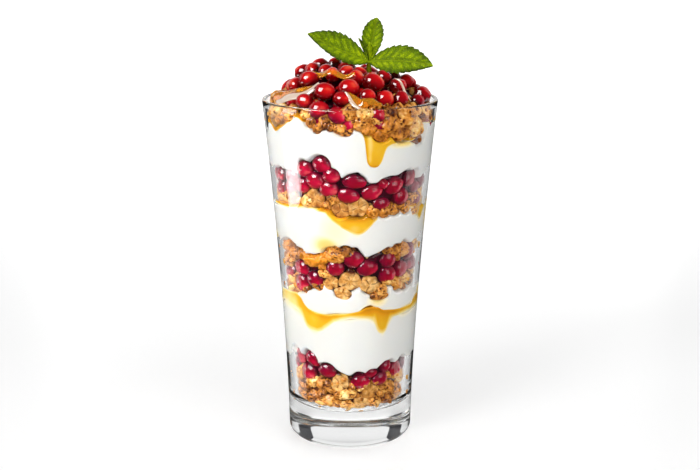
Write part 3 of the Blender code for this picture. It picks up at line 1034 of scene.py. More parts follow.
def maths(tree, operation, first, second=0.0):
    return add_node(tree, "ShaderNodeMath", {0: first, 1: second}, operation=operation).outputs[0]


def bumped(tree, shader, height, strength, distance):
    made = add_node(tree, "ShaderNodeBump", {"Height": height, "Strength": strength, "Distance": distance})
    tree.links.new(made.outputs[0], shader.inputs["Normal"])


def scaled(colour, factor):
    return tuple(min(part * factor, 1.0) for part in colour)


def about_zero(tree, value, width):
    """A value from 0 to 1 brought to either side of zero, so many units wide."""
    return maths(tree, "MULTIPLY", maths(tree, "SUBTRACT", value, 0.5), width)


def either(tree, share, shader, other):
    """Shows one shader or, by a share, the other."""
    both = add_node(tree, "ShaderNodeMixShader", {0: share, 1: shader.outputs[0], 2: other.outputs[0]})
    tree.links.new(both.outputs[0], tree.nodes["Material Output"].inputs["Surface"])


def coat(weight, index, roughness):
    """The inputs of a clear coat."""
    return {"Coat Weight": weight, "Coat IOR": index, "Coat Roughness": roughness}


@material("clear glass")
def glass_material(tree, shader):
    settings = bpy.context.scene.parfait_tumbler
    look = {"Base Color": (*settings.tint, 1), "Roughness": 0.0, "IOR": settings.index}
    set_inputs(shader, {**look, "Transmission Weight": 1.0})
    clear = add_node(tree, "ShaderNodeBsdfTransparent", {"Color": (0.96, 0.965, 0.965, 1)})
    either(tree, add_node(tree, "ShaderNodeLightPath").outputs["Is Shadow Ray"], shader, clear)


@material("thick yogurt")
def yogurt_material(tree, shader):
    white = bpy.context.scene.parfait_filling.yogurt
    uneven = mixed(tree, object_noise(tree, 60, 3), scaled(white, 0.985), scaled(white, 1.02))
    soaked = ((0.25, (0.92, 0.84, 0.62)), (0.6, (0.90, 0.70, 0.26)), (1.0, (0.80, 0.48, 0.05)))
    tint = ramp(tree, attribute(tree, "honeyed"), (0.0, white), *soaked)
    share = ramp(tree, attribute(tree, "honeyed"), (0.0, (0, 0, 0)), (0.12, (1, 1, 1)))
    look = {"Base Color": mixed(tree, share, uneven, tint), "Roughness": 0.4, "Specular IOR Level": 0.05}
    look |= {"Subsurface Weight": 0.3, "Subsurface Radius": (1.0, 0.8, 0.6), "Subsurface Scale": 1.5 * MM}
    set_inputs(shader, look)
    bumped(tree, shader, object_noise(tree, 260, 3), 0.12, 0.4 * MM)


@material("poured honey")
def honey_material(tree, shader):
    thickest = scaled(bpy.context.scene.parfait_filling.honey, 0.6)
    streak = about_zero(tree, object_noise(tree, 110, 2), 0.35)
    colour = ramp(
        tree,
        maths(tree, "ADD", attribute(tree, "depth"), streak),
        (0.0, (0.92, 0.88, 0.74)),
        (0.2, (0.92, 0.72, 0.25)),
        (0.42, (0.82, 0.46, 0.018)),
        (0.68, (0.70, 0.27, 0.005)),
        (1.0, thickest),
    )
    set_inputs(shader, {"Base Color": colour, "Roughness": 0.15, "Specular IOR Level": 0.2})


@material("baked granola")
def granola_material(tree, shader):
    patch = object_noise(tree, 380, 4, 0.6)
    speck = about_zero(tree, object_noise(tree, 1500, 3, 0.7), 0.3)
    tone = about_zero(tree, attribute(tree, "tone"), 0.36)
    # Painted shade: darker in the lumps' creases and the flakes' splits
    pit_shade = maths(tree, "MULTIPLY", attribute(tree, "pit_shade"), -0.6)
    base = ramp(
        tree,
        maths(tree, "ADD", maths(tree, "ADD", patch, tone), maths(tree, "ADD", speck, pit_shade)),
        (0.08, (0.06, 0.008, 0.001)),
        (0.28, (0.26, 0.07, 0.005)),
        (0.5, bpy.context.scene.parfait_filling.granola),
        (0.66, (0.93, 0.54, 0.14)),
        (0.86, (1.0, 0.80, 0.38)),
    )
    share = maths(tree, "MULTIPLY", attribute(tree, "syrup"), 0.95)
    look = {"Base Color": mixed(tree, share, base, (0.82, 0.27, 0.004)), "Roughness": 0.5}
    set_inputs(shader, {**look, "Specular IOR Level": 0.1, **coat(0.6, 1.5, 0.08)})
    height = maths(tree, "ADD", object_noise(tree, 800, 3, 0.6), object_noise(tree, 320, 2))
    bumped(tree, shader, height, 0.6, 0.5 * MM)


@material("oat flakes")
def flake_material(tree, shader):
    tone = about_zero(tree, attribute(tree, "tone"), 0.2)
    value = maths(tree, "ADD", object_noise(tree, 500, 4, 0.6), tone)
    baked = ((0.24, (0.34, 0.10, 0.01)), (0.47, (0.63, 0.28, 0.052)), (0.74, (0.93, 0.60, 0.23)))
    # Painted shade: the splits darkened to a dark brown
    crack_shade = mixed(tree, attribute(tree, "pit_shade"), ramp(tree, value, *baked), (0.12, 0.025, 0.003))
    look = {"Base Color": crack_shade, "Roughness": 0.5, "Specular IOR Level": 0.1}
    set_inputs(shader, {**look, "Coat Weight": 0.3, "Coat Roughness": 0.25})
    bumped(tree, shader, object_noise(tree, 900, 4, 0.6), 0.6, 0.3 * MM)


@material("shining arils")
def aril_material(tree, shader):
    aril = bpy.context.scene.parfait_filling.aril
    streak = about_zero(tree, object_noise(tree, 240, 2), 0.35)
    tone = about_zero(tree, attribute(tree, "tone"), 0.3)
    # The arils' painted light and shade, with random tone and streaks on top
    light_and_shade = maths(tree, "ADD", maths(tree, "ADD", attribute(tree, "light_and_shade"), streak), tone)
    colour = ramp(
        tree,
        light_and_shade,
        (0.0, (0.016, 0.0, 0.003)),
        (0.14, (0.07, 0.0, 0.010)),
        (0.34, (0.16, 0.0, 0.018)),
        (0.58, scaled(aril, 0.66)),
        (0.8, (0.54, 0.005, 0.042)),
        (1.0, (0.92, 0.12, 0.13)),
    )
    # A lit copy of the ramp: painted light for the heap's arils above the rim
    painted_bright = ramp(
        tree,
        light_and_shade,
        (0.0, (0.03, 0.0, 0.0)),
        (0.14, (0.14, 0.0, 0.001)),
        (0.36, (0.38, 0.0, 0.004)),
        (0.66, (0.74, 0.006, 0.008)),
        (1.0, (1.0, 0.16, 0.07)),
    )
    look = {"Base Color": mixed(tree, attribute(tree, "painted_top_light"), colour, painted_bright), "Roughness": 0.2}
    set_inputs(shader, {**look, "IOR": 1.4, "Specular IOR Level": 0.0, **coat(1.0, 1.65, 0.04)})


@material("amber glaze")
def glaze_material(tree, shader):
    amber = mixed(tree, object_noise(tree, 260, 2), (0.92, 0.30, 0.006), (1.0, 0.55, 0.035))
    # Painted highlight: the pale runs are a milky sheen standing in for the softbox's reflection
    look = {"Base Color": mixed(tree, attribute(tree, "pale"), amber, (0.95, 0.80, 0.68)), "Roughness": 0.05}
    painted_sheen = maths(tree, "MULTIPLY", attribute(tree, "pale"), -0.66)
    look |= {"IOR": 1.4, "Transmission Weight": maths(tree, "ADD", painted_sheen, 0.68)}
    set_inputs(shader, {**look, **coat(1.0, 1.7, 0.03)})


@material("mint leaf")
def mint_material(tree, shader):
    green = bpy.context.scene.parfait_sprig.green
    where = {"Vector": add_node(tree, "ShaderNodeTexCoord").outputs["Object"], "Scale": 1050.0}
    cells = add_node(tree, "ShaderNodeTexVoronoi", where, feature="DISTANCE_TO_EDGE").outputs["Distance"]
    # Painted shade: darker where the cells meet, lighter in their middles; the same pattern drives the bump
    pillow = add_node(tree, "ShaderNodeMapRange", {0: cells, 1: 0.0, 2: 0.28}).outputs[0]
    patch = about_zero(tree, object_noise(tree, 300, 3), 0.7)
    value = maths(tree, "ADD", attribute(tree, "mint_shade_and_tone"), patch)
    value = maths(tree, "ADD", value, maths(tree, "MULTIPLY", pillow, 0.22))
    # The dark greens, reached in the painted shade of the grooves
    shaded_greens = ((0.1, scaled(green, 0.22)), (0.35, scaled(green, 0.8)))
    base = ramp(tree, value, *shaded_greens, (0.58, (0.25, 0.38, 0.0)), (0.92, (0.60, 0.74, 0.006)))
    share = maths(tree, "MULTIPLY", attribute(tree, "vein"), 0.8)
    look = {"Base Color": mixed(tree, share, base, (0.50, 0.66, 0.008)), "Roughness": 0.5}
    set_inputs(shader, {**look, "Specular IOR Level": 0.06})
    bumped(tree, shader, pillow, 0.8, 0.3 * MM)


@material("studio floor")
def floor_material(tree, shader):
    """A pale floor, lit up far away. What the glass mirrors of it is black in front and dim far behind."""
    soft = mixed(tree, object_noise(tree, 3, 2), (0.93, 0.93, 0.93), (0.945, 0.945, 0.945))
    where = add_node(tree, "ShaderNodeTexCoord").outputs["Object"]
    away = add_node(tree, "ShaderNodeVectorMath", {0: where}, operation="LENGTH").outputs["Value"]
    far = add_node(tree, "ShaderNodeMapRange", {0: away, 1: 0.12, 2: 0.9, 3: 0.2, 4: 0.75}).outputs[0]
    path = add_node(tree, "ShaderNodeLightPath").outputs
    first = maths(tree, "LESS_THAN", path["Diffuse Depth"], 0.5)
    look = {"Base Color": soft, "Roughness": 0.3, "Specular IOR Level": 0.3, "Emission Color": (1, 1, 1, 1)}
    set_inputs(shader, {**look, "Emission Strength": maths(tree, "MULTIPLY", far, first)})
    depth = add_node(tree, "ShaderNodeSeparateXYZ", {0: where}).outputs["Y"]
    front = maths(tree, "LESS_THAN", depth, -0.009)
    behind = maths(tree, "MULTIPLY", maths(tree, "GREATER_THAN", depth, 0.15), 0.3)
    dark = maths(tree, "MAXIMUM", front, behind)
    distant = maths(tree, "GREATER_THAN", path["Ray Length"], 0.034)
    mirrored = maths(tree, "GREATER_THAN", path["Glossy Depth"], 0.5)
    black = add_node(tree, "ShaderNodeEmission", {"Color": (0.02, 0.02, 0.02, 1), "Strength": 1.0})
    share = maths(tree, "MULTIPLY", maths(tree, "MULTIPLY", dark, mirrored), distant)
    either(tree, share, shader, black)


# ---------------------------------------------------------------- building each piece


def tumbler_profile():
    """Half section of the glass, from the middle of its recess round to the middle of its floor."""
    profile = [(RECESS_RADIUS * share, RECESS_DEPTH * (1 - share**2)) for share in steps(0.1, 1.0, 8)]
    heel_centre = float(outer_radius(HEEL_RADIUS)) - HEEL_RADIUS
    profile += [(r, 0.0) for r in steps(RECESS_RADIUS, heel_centre, 4)[1:-1]]
    for turn in steps(0, math.pi / 2, 10):
        profile.append((heel_centre + HEEL_RADIUS * math.sin(turn), HEEL_RADIUS * (1 - math.cos(turn))))
    lip = WALL_AT_RIM / 2
    lip_height = GLASS_HEIGHT - lip
    profile += [(float(outer_radius(z)), z) for z in steps(HEEL_RADIUS, lip_height, 60)[1:]]
    centre = float(outer_radius(lip_height)) - lip
    for turn in steps(0, math.pi, 12)[1:-1]:
        profile.append((centre + lip * math.cos(turn), lip_height + lip * math.sin(turn)))
    corner_top = FLOOR_HEIGHT + FLOOR_CORNER
    profile += [(float(inner_radius(z)), z) for z in steps(lip_height, corner_top, 56)]
    centre = float(inner_radius(corner_top)) - FLOOR_CORNER
    for turn in steps(0, math.pi / 2, 12)[1:]:
        profile.append((centre + FLOOR_CORNER * math.cos(turn), corner_top - FLOOR_CORNER * math.sin(turn)))
    return profile + [(r, FLOOR_HEIGHT) for r in steps(centre, 0.1 * centre, 6)[1:]]


def build_tumbler():
    count = bpy.context.scene.parfait_tumbler.segments
    angles = round_angles(count)
    mesh = grid_mesh("tumbler", [ring_at(angles, r, z) for r, z in tumbler_profile()])
    add_piece("tumbler", mesh, glass_material(), ("glass_tumbler",))


def build_yogurt():
    for layer in YOGURTS:
        mesh = poured("yogurt", layer, WET, YOGURT_BUILD)
        stain(mesh, "honeyed", YOGURT_STAINS, (HONEY_NEAR[layer],))
        add_piece(layer.replace("yogurt", "yogurt_body"), mesh, yogurt_material(), (layer,))


def honey_edges(layer, angles):
    """A honey layer's edges: its CAD node's all round, and its runs at the front."""
    sides = []
    overlap = 0.45 * MM
    plain = (low_edge(layer, angles) - overlap, high_edge(layer, angles) + overlap)
    kernel = np.hanning(11)
    for knots, edge in zip(HONEY_RUNS[layer][:2], plain):
        if knots:
            places, heights = np.array(knots).T
            run = np.interp(angles, places, heights * MM)
            run = np.convolve(np.pad(run, 5, mode="edge"), kernel / kernel.sum(), mode="valid")
            inside = np.clip(np.minimum(angles - places[0], places[-1] - angles) / 3, 0, 1)
            edge = edge + (run - edge) * inside
        sides.append(edge)
    return sides[0], np.maximum(sides[1], sides[0] + 0.5 * MM)


def build_honey():
    ring = round_angles(HONEY_COLUMNS)
    for layer in HONEYS:
        mesh = poured("honey", layer, WET + 0.08 * MM, HONEY_BUILD, honey_edges)
        points = points_of(mesh)
        angle = angle_of(points)
        low, high = (np.interp(angle, ring, edge) for edge in honey_edges(layer, ring))
        steep = np.gradient(honey_edges(layer, ring)[0], np.radians(360 / HONEY_COLUMNS) * 30 * MM)
        lean = np.sqrt(1 + np.interp(angle, ring, steep) ** 2)
        # The painted depth also holds a painted highlight streak on the top drip
        paint(mesh, "depth", honey_depth_and_highlight(layer, angle, points[:, 2], low, high, lean))
        add_piece(layer.replace("honey", "honey_pool"), mesh, honey_material(), (layer,))


def honey_depth_and_highlight(layer, angle, z, low, high, lean):
    """How deep the honey's colour is: faded at its lower edge, darkest where it lies thick on top, and
    lighter down a painted highlight streak on the top drip.
    """
    soft = HONEY_RUNS[layer][2] * MM
    from_low, from_top = np.clip(z - low, 0, None) / lean, np.clip(high - z, 0, None)
    thick = np.clip((high - low) / (7 * MM), 0, 1)
    fade = np.clip(from_low / soft, 0, 1)
    depth = 0.36 * fade + 0.34 * fade * np.exp(-from_top / (1.4 * MM)) + 0.08 * thick
    if layer == "honey_low":
        depth *= 0.3 + 0.7 * np.clip(from_top / (1.0 * MM), 0, 1)
    if layer == "honey_high":
        depth += 0.3 * (angle < 2)
        depth += 0.42 * np.exp(-from_low / (0.4 * MM)) * (angle < 20) * (angle > 5)
        # Painted highlight: a lighter streak down the drip
        depth -= 0.16 * np.exp(-(((angle - 13.5) / 1.6) ** 2)) * (from_low > 0.5 * MM)
    if layer == "honey_mid":
        depth += 0.2 * np.exp(-from_low / (0.5 * MM)) * (np.abs(angle - 5) < 12)
        depth += 0.4 * np.exp(-from_top / (1.2 * MM)) * np.exp(-(((angle - 3) / 20) ** 2))
    if layer == "honey_low":
        depth += 0.32 * fade * np.exp(-(((angle - 22) / 19) ** 2)) * np.exp(-from_top / (2.5 * MM))
        depth *= 1 - 0.45 * np.clip((-angle - 46) / 8, 0, 1) * (angle < 0)
    return depth + 0.07 * fade * ripple(angle, z, 2.0)


def build_granola_layer(layer):
    """One layer of granola against the wall: its bed, painted dark as shade between the pieces, crumbs on it,
    lumps and oat flakes.
    """
    filling = bpy.context.scene.parfait_filling
    name = layer.replace("granola", "granola_bed") if "granola" in layer else "granola_bed_crumble"
    if layer == "granola_low":
        bed = bottom_bed()
    else:
        bed = poured(name, layer, -2.3 * MM, GRANOLA_BUILD)
    points = points_of(bed)
    wall = inner_radius(points[:, 2]) - np.hypot(points[:, 0], points[:, 1])
    paint(bed, "spread", wall < 4.5 * MM)
    size = {"Density": filling.crumb_density, "Size": filling.crumb_size, "Seed": GRANOLAS.index(layer) + 1}
    crumbs = shapes_of("crumb shapes")
    crumbs = grown(bed.copy(), scatter_tree(), Shapes=crumbs, Finish=granola_material(), **size)
    # Painted shade: the bed's tone is set low so that the gaps between the lumps look dark
    paint(bed, "tone", -0.8)
    made = [("bed", bed), ("crumbs", crumbs)]
    spots = lump_spots(layer)
    for suffix, big in (("clusters", True), ("lumps", False)):
        pieces = [placed_on_wall(s) for s in spots if (s.wide > BIG_LUMP) == big]
        if pieces:
            made.append((suffix, placed_mesh(pieces, "cluster shapes", granola_material())))
    for suffix, mesh in made:
        stain(mesh, "syrup", SYRUP_STAINS)
        if suffix == "bed":
            add_piece(name, mesh, granola_material(), (layer,))
        else:
            add_piece(name.replace("bed", suffix), mesh, None)
    flakes = [placed_on_wall(s) for s in flake_spots(layer)]
    if flakes:
        mesh = placed_mesh(flakes, "flake shapes", flake_material())
        add_piece(name.replace("bed", "flakes"), mesh, None)


def bottom_bed():
    """The bed of the lowest granola, which follows the rounded corner of the glass's floor."""
    angles = round_angles(BED_COLUMNS)
    low, high = FLOOR_HEIGHT + 1.0 * MM, high_edge("granola_low", angles) - 0.6 * MM
    rows = [ring_at(angles, 17 * MM * share, low) for share in (0.4, 0.8)]
    for i in range(8):
        z = low + (high - low) * i / 7
        rough = 0.35 * MM * ripple(angles, z, 5.0)
        rows.append(ring_at(angles, inner_radius(z + 0.8 * MM) - BACK + rough, z))
    top = edges_of("granola_low")[3] - 1 * MM
    for share in (0.7, 0.35):
        rows.append(ring_at(angles, (inner_radius(high) - BACK) * share, top + (high - top) * share))
    return grid_mesh("granola_bed_low", rows)


def paint_aril_light(mesh, centre_height=None):
    """Paints the arils' light and shade: light where they face out and in a lobe turned aside and down, where
    the key light shines through them, and painted shade round their edges.
    """
    points, normals = points_of(mesh), rows_of(mesh.vertex_normals, "vector")
    out = points * (1, 1, 0) if centre_height is None else points - (0, 0, centre_height)
    out = unit(out)
    # Painted light: the lobe where the key light shines through, turned aside and down from the outward way
    aside = np.stack([-out[:, 1], out[:, 0], np.full(len(out), -0.6)], axis=1)
    lit = unit(out + 0.75 * aside)
    facing = np.clip((normals * out).sum(axis=1), 0, 1)
    painted_bright = np.clip((normals * lit).sum(axis=1), 0, 1)
    # Painted shade round each aril's edge, painted light where it faces out and in the lobe
    paint(mesh, "light_and_shade", 0.10 + 0.40 * facing**1.5 + 0.48 * painted_bright**7)
    # Painted light: the heap's arils above the rim take the brighter ramp
    painted_top_light = np.clip((points[:, 2] - PAINTED_LIGHT_ABOVE) / (7 * MM), 0, 1)
    paint(mesh, "painted_top_light", painted_top_light if centre_height else 0.0)


def add_arils(name, pieces, centre_height=None):
    mesh = placed_mesh(pieces, "aril shapes", aril_material())
    paint_aril_light(mesh, centre_height)
    add_piece(name, mesh, None)


def add_aril_bed(name, mesh, light_and_shade, layer):
    """The mass inside a layer of arils, painted dark as shade."""
    paint(mesh, "light_and_shade", light_and_shade)
    paint(mesh, "tone", 0.4)
    add_piece(name, mesh, aril_material(), (layer,))


def build_aril_layer(layer):
    """One layer of arils: those against the wall, a second row behind, and the mass within, painted dark as
    shade.
    """
    name = layer.replace("arils", "aril_bed")
    bed = poured(name, layer, -BACK, ARIL_BUILD)
    add_aril_bed(name, bed, 0.08, layer)
    add_arils(layer + "_row", [placed_on_wall(s) for s in aril_spots(layer)])
    half = bpy.context.scene.parfait_filling.aril_size
    seed = SEEDS["arils behind"] + ARIL_LAYERS.index(layer)
    behind = fill_wall(layer, ((half, 900, 3.6 * MM),), [], seed, squash=0.8)
    add_arils(layer + "_behind", [placed_on_wall(s) for s in behind])


def heap_cover(node, half, seed, taken, sink, spacing, tries=2500):
    """Pieces all over the top of a node: x, y and height, each clear of the last."""
    rng = random.Random(seed)
    found = list(taken)
    made = []
    for _ in range(tries):
        turn, reach = rng.uniform(0, 2 * math.pi), 36 * MM * math.sqrt(rng.random())
        x, y = reach * math.cos(turn), reach * math.sin(turn)
        size = half * rng.uniform(0.85, 1.12)
        if math.hypot(x, y) > float(inner_radius(HEAP_LEVEL)) - size * 0.95:
            continue
        hit = top_of(node, x, y)
        if hit is None:
            continue
        at = hit[0] - Vector((0, 0, size * sink))
        if any((at - other).length < (size + extent) * spacing for other, extent in found):
            continue
        found.append((at, size))
        made.append((at, size, hit[1], rng.random(), rng.randrange(8), rng.uniform(0, 360)))
    return made


def placed_on_heap(at, size, normal, tone, shape, spin, shapes=4, flat=0.88):
    """A piece lying on the heap, its long side along the surface."""
    lie = normal.to_track_quat("Z", "Y") @ Euler((0, 0, math.radians(spin))).to_quaternion()
    return Placed(tuple(at), tuple(lie.to_euler()), (size, size * flat, size * flat), shape % shapes, tone)


def build_heap():
    """The mound on top: granola round the rim, arils over the middle."""
    filling = bpy.context.scene.parfait_filling
    rng = random.Random(HEAP_SEEDS["front"])
    front = [(Vector((x, y, z)) * MM, half * MM) for x, y, z, half in HEAP_ARILS]
    arils = heap_cover("arils_top", filling.aril_size * 0.98, HEAP_SEEDS["arils"], front, 0.85, 0.84)
    pieces = []
    for at, size in front:
        hit = top_of("arils_top", at.x, at.y)
        normal = hit[1] if hit else Vector((0, 0, 1))
        pieces.append(placed_on_heap(at, size, normal, rng.random(), rng.randrange(4), rng.uniform(-30, 30)))
    pieces += [placed_on_heap(*one) for one in arils]
    add_arils("arils_heap", pieces, HEAP_CENTRE)
    half = filling.aril_size * 0.95
    under = heap_cover("arils_top", half, HEAP_SEEDS["arils under"], (), 2.4, 0.8, tries=1500)
    add_arils("arils_heap_under", [placed_on_heap(*one) for one in under], HEAP_CENTRE)
    build_heap_core()
    build_glaze(pieces)
    lumps = heap_cover("granola_top", filling.lump_size * 0.85, HEAP_SEEDS["granola"], (), 0.35, 0.8)
    lumps = [placed_on_heap(*one, shapes=8, flat=0.9) for one in lumps]
    mesh = placed_mesh(lumps, "lump shapes", granola_material())
    stain(mesh, "syrup", SYRUP_STAINS)
    add_piece("granola_lumps_heap", mesh, None)


def heap_height(pieces, x, y):
    """The height of the highest aril over a point, or of the mound or the granola between them."""
    arils, granola = top_of("arils_top", x, y), top_of("granola_top", x, y)
    if arils:
        best = arils[0].z - 2.5 * MM
    else:
        best = granola[0].z + 1.8 * MM if granola else 150 * MM
    for piece in pieces:
        across = (x - piece.at[0]) ** 2 + (y - piece.at[1]) ** 2
        size = piece.size[0]
        if across < size**2:
            best = max(best, piece.at[2] + math.sqrt(size**2 - across) * 0.92)
    return best


def glaze_mesh(pieces, path, half, pale):
    """One run of glaze draped over the arils."""
    path = np.array(path) * MM
    gone = np.concatenate([[0], np.cumsum(np.linalg.norm(np.diff(path, axis=0), axis=1))])
    count, around = 40, 14
    place = np.linspace(0, gone[-1], count)
    x, y = np.interp(place, gone, path[:, 0]), np.interp(place, gone, path[:, 1])
    z = np.array([heap_height(pieces, *at) for at in zip(x, y)])
    blur = np.hanning(25)
    z = np.convolve(np.pad(z, 12, mode="reflect", reflect_type="odd"), blur / blur.sum(), mode="valid")
    middle = np.stack([x, y, z], axis=1)
    forward = unit(np.gradient(middle, axis=0))
    side = unit(np.cross(np.stack([x, y, np.full(count, 22 * MM)], axis=1), forward))
    up = np.cross(forward, side)
    taper = np.sin(np.pi * np.linspace(0.02, 0.98, count)) ** 0.45
    taper *= 1 + 0.12 * np.sin(place / (2.6 * MM))
    rows = []
    for turn in np.linspace(0, 2 * np.pi, around, endpoint=False):
        wide = (half * MM * taper * np.cos(turn))[:, None] * side
        tall = (GLAZE * taper * np.sin(turn))[:, None] * up
        rows.append(middle + wide + tall)
    mesh = grid_mesh("glaze", np.array(rows).transpose(1, 0, 2))
    # How pale the run is: a painted highlight
    paint(mesh, "pale", pale)
    return mesh


def build_glaze(pieces):
    """The glaze over the heap, all its runs in one mesh."""
    maker = bmesh.new()
    for path, half, pale in HEAP_GLAZE:
        mesh = glaze_mesh(pieces, path, half, pale)
        maker.from_mesh(mesh)
        bpy.data.meshes.remove(mesh)
    joined = bpy.data.meshes.new("heap_glaze")
    maker.to_mesh(joined)
    maker.free()
    joined.shade_smooth()
    add_piece("heap_glaze", joined, glaze_material())


def build_heap_core():
    """The mass inside the heap of arils, painted dark as shade, as far out as the node reaches at each angle.
    """

    def under(angle, share):
        tests = steps(34 * MM, 14 * MM, 21)
        reach = next((test for test in tests if top_of("arils_top", *at_wall(angle, test, 0)[:2])), 0.0)
        x, y, _ = at_wall(angle, (reach - 2.5 * MM) * share, 0)
        sunk = 6.5 * MM if share < 0.99 else 9 * MM
        return x, y, top_of("arils_top", x, y)[0].z - sunk

    shares = (1.0, 0.9, 0.78, 0.62, 0.45, 0.28, 0.12)
    rows = [[under(angle, share) for angle in round_angles(96)] for share in shares]
    base = [(x, y, z - 3 * MM) for x, y, z in rows[0]]
    add_aril_bed("aril_bed_top", grid_mesh("aril_bed_top", [base, *rows]), 0.05, "arils_top")


def leaf_rows(length, teeth, heading, climb, droop, roll):
    """A leaf's midrib, with its side and up direction at each step along it."""
    count = 2 * teeth
    top = Vector((SPRIG_X, SPRIG_Y, STEM_TOP))
    turn = Matrix.Rotation(math.radians(heading), 3, "Z")
    rows = []
    for i in range(count + 1):
        pitch = math.radians(climb - droop * (i / count))
        forward = turn @ Vector((math.cos(pitch), 0, math.sin(pitch)))
        if i:
            top = top + forward * (length * MM / count)
        side = Matrix.Rotation(math.radians(roll), 3, forward) @ (turn @ Vector((0, 1, 0)))
        rows.append((top.copy(), side, forward.cross(side)))
    return rows


def read_rows(rows, share):
    """The midrib's point and directions at any share of its length."""
    place = min(share * (len(rows) - 1), len(rows) - 1.0001)
    i = int(place)
    t = place - i
    return [a.lerp(b, t) for a, b in zip(rows[i], rows[i + 1])]


def leaf_mesh(name, length, width, teeth, heading, climb, droop, roll, fold):
    """One mint leaf: toothed edge, sunken veins, and the blade quilted up between them."""
    sprig = bpy.context.scene.parfait_sprig
    rows = leaf_rows(length, teeth, heading, climb, droop, roll)
    count = int(max(length * 4, 40))
    points, mint_shade_and_tone, vein = [], [], []
    sides = np.linspace(-1, 1, 29)
    for layer in (1, -1):
        for i in range(count + 1):
            share = i / count
            middle, side, up = read_rows(rows, share)
            outline = math.sin(math.pi * share**0.92) ** 0.82 if 0 < share < 1 else 0.0
            notch = 0.11 * (1 - (share * teeth) % 1.0) ** 1.5 * min(1, 12 * share * (1 - share))
            half = max(width / 2 * MM * outline * (1 - notch), 0.25 * MM)
            plump = min(half / (2.5 * MM), 1)
            for across in sides:
                out = abs(across)
                phase = (share - 0.17 * out) * teeth * 0.8
                rib = math.exp(-(((phase % 1.0) - 0.5) / 0.11) ** 2) * min(out * 6, 1) * (1 - 0.5 * out)
                mid = math.exp(-((across * half / (0.42 * MM)) ** 2))
                swell = abs(math.sin(math.pi * (phase - 0.5))) ** 0.7 * (1 - out**3) * min(out * 4, 1)
                height = half * math.sin(math.radians(fold)) * out**1.1
                height += sprig.quilting * swell * plump - sprig.quilting * 0.7 * mid * plump
                edge = sprig.thickness * (0.5 if out < 0.99 else 0.12)
                points.append(middle + side * (half * across) + up * (height + layer * edge))
                # Painted light and shade: lighter on the quilted swellings, darker towards the tip and the
                # edges
                mint_shade_and_tone.append(0.3 - 0.2 * share + 0.45 * swell - 0.12 * out)
                vein.append(min(0.75 * mid + 0.38 * rib if layer > 0 else mid + 0.5 * rib, 1))
    wide = len(sides)
    below = (count + 1) * wide
    faces = []
    for start in (0, below):
        for i in range(count):
            for a in range(start + i * wide, start + i * wide + wide - 1):
                face = [a, a + 1, a + wide + 1, a + wide]
                faces.append(face if start else face[::-1])
    ends = [range(0, below, wide), range(wide - 1, below, wide), range(wide), range(count * wide, below)]
    faces += [[a, b, b + below, a + below] for line in ends for a, b in zip(line, line[1:])]
    mesh = bpy.data.meshes.new(name)
    mesh.from_pydata([tuple(p) for p in points], [], faces)
    paint(mesh, "mint_shade_and_tone", mint_shade_and_tone)
    paint(mesh, "vein", vein)
    face_outwards(mesh)
    return mesh


def build_mint():
    for row in LEAVES:
        replaced = ("mint_sprig",) if row is LEAVES[0] else ()
        add_piece("mint_" + row[0], leaf_mesh(*row), mint_material(), replaced)
    angles = np.linspace(0, 360, 14, endpoint=False)
    ribs = 1 + 0.12 * np.cos(4 * np.radians(angles))
    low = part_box("mint_sprig")[0].z - 2 * MM
    rows = []
    for share in steps(0, 1, 12):
        z = low + (STEM_TOP + 0.6 * MM - low) * share
        rows.append(ring_at(angles, (1.05 - 0.2 * share) * MM * ribs, z) + (SPRIG_X, SPRIG_Y, 0))
    mesh = grid_mesh("mint_stem", rows)
    paint(mesh, "mint_shade_and_tone", 0.55)
    paint(mesh, "vein", 0.2)
    add_piece("mint_stem", mesh, mint_material())


# ---------------------------------------------------------------- stage


def stage_mesh(name, points, faces, material, seen=True):
    """A mesh of the stage. Unless it is seen, it shows only in what is shiny or clear."""
    mesh = bpy.data.meshes.new(name)
    mesh.from_pydata(points, [], faces)
    mesh.materials.append(material)
    made = bpy.data.objects.new(name, mesh)
    made.visible_camera = made.visible_shadow = made.visible_diffuse = seen
    bpy.context.scene.collection.objects.link(made)
    return made


def card(name, corner, across, up, material, seen=False):
    """A flat rectangle of the stage."""
    corner, across, up = Vector(corner), Vector(across), Vector(up)
    points = [corner, corner + across, corner + across + up, corner + up]
    return stage_mesh(name, points, [(0, 1, 2, 3)], material, seen)


def glow_material(name, colour, strength):
    @material(name)
    def glowing(tree, shader):
        look = {"Base Color": (0, 0, 0, 1), "Specular IOR Level": 0.0}
        set_inputs(shader, {**look, "Emission Color": (*colour, 1), "Emission Strength": strength})

    return glowing()


def add_area(name, at, toward, size, power, mirrored=False):
    """A square area light at a place, turned to face another."""
    lamp = bpy.data.lights.new(name, "AREA")
    lamp.shape = "RECTANGLE"
    lamp.size = lamp.size_y = size
    lamp.energy = power
    made = bpy.data.objects.new(name, lamp)
    made.location = at
    made.rotation_euler = (Vector(toward) - Vector(at)).to_track_quat("-Z", "Y").to_euler()
    made.visible_glossy = mirrored
    bpy.context.scene.collection.objects.link(made)


def flag_ring():
    """Dark wavy cards behind the glass to either side, seen only in the glass, which give it its edges."""
    dark = glow_material("dark card", (0.04, 0.04, 0.045), 1.0)
    reach, middle, half = 0.62, 36, 9
    for side in (-1, 1):
        points = []
        for z in steps(0.0, 0.1, 81) + steps(0.12, 0.5, 3):
            sway = 7 * math.sin(2 * math.pi * z / 0.03) * math.exp(-z / 0.05)
            points += [at_wall(180 - side * (middle + sway + edge), reach, z) for edge in (-half, half)]
        faces = [(i, i + 1, i + 3, i + 2) for i in range(0, len(points) - 2, 2)]
        stage_mesh(f"dark_card_{side + 1}", points, faces, dark, seen=False)


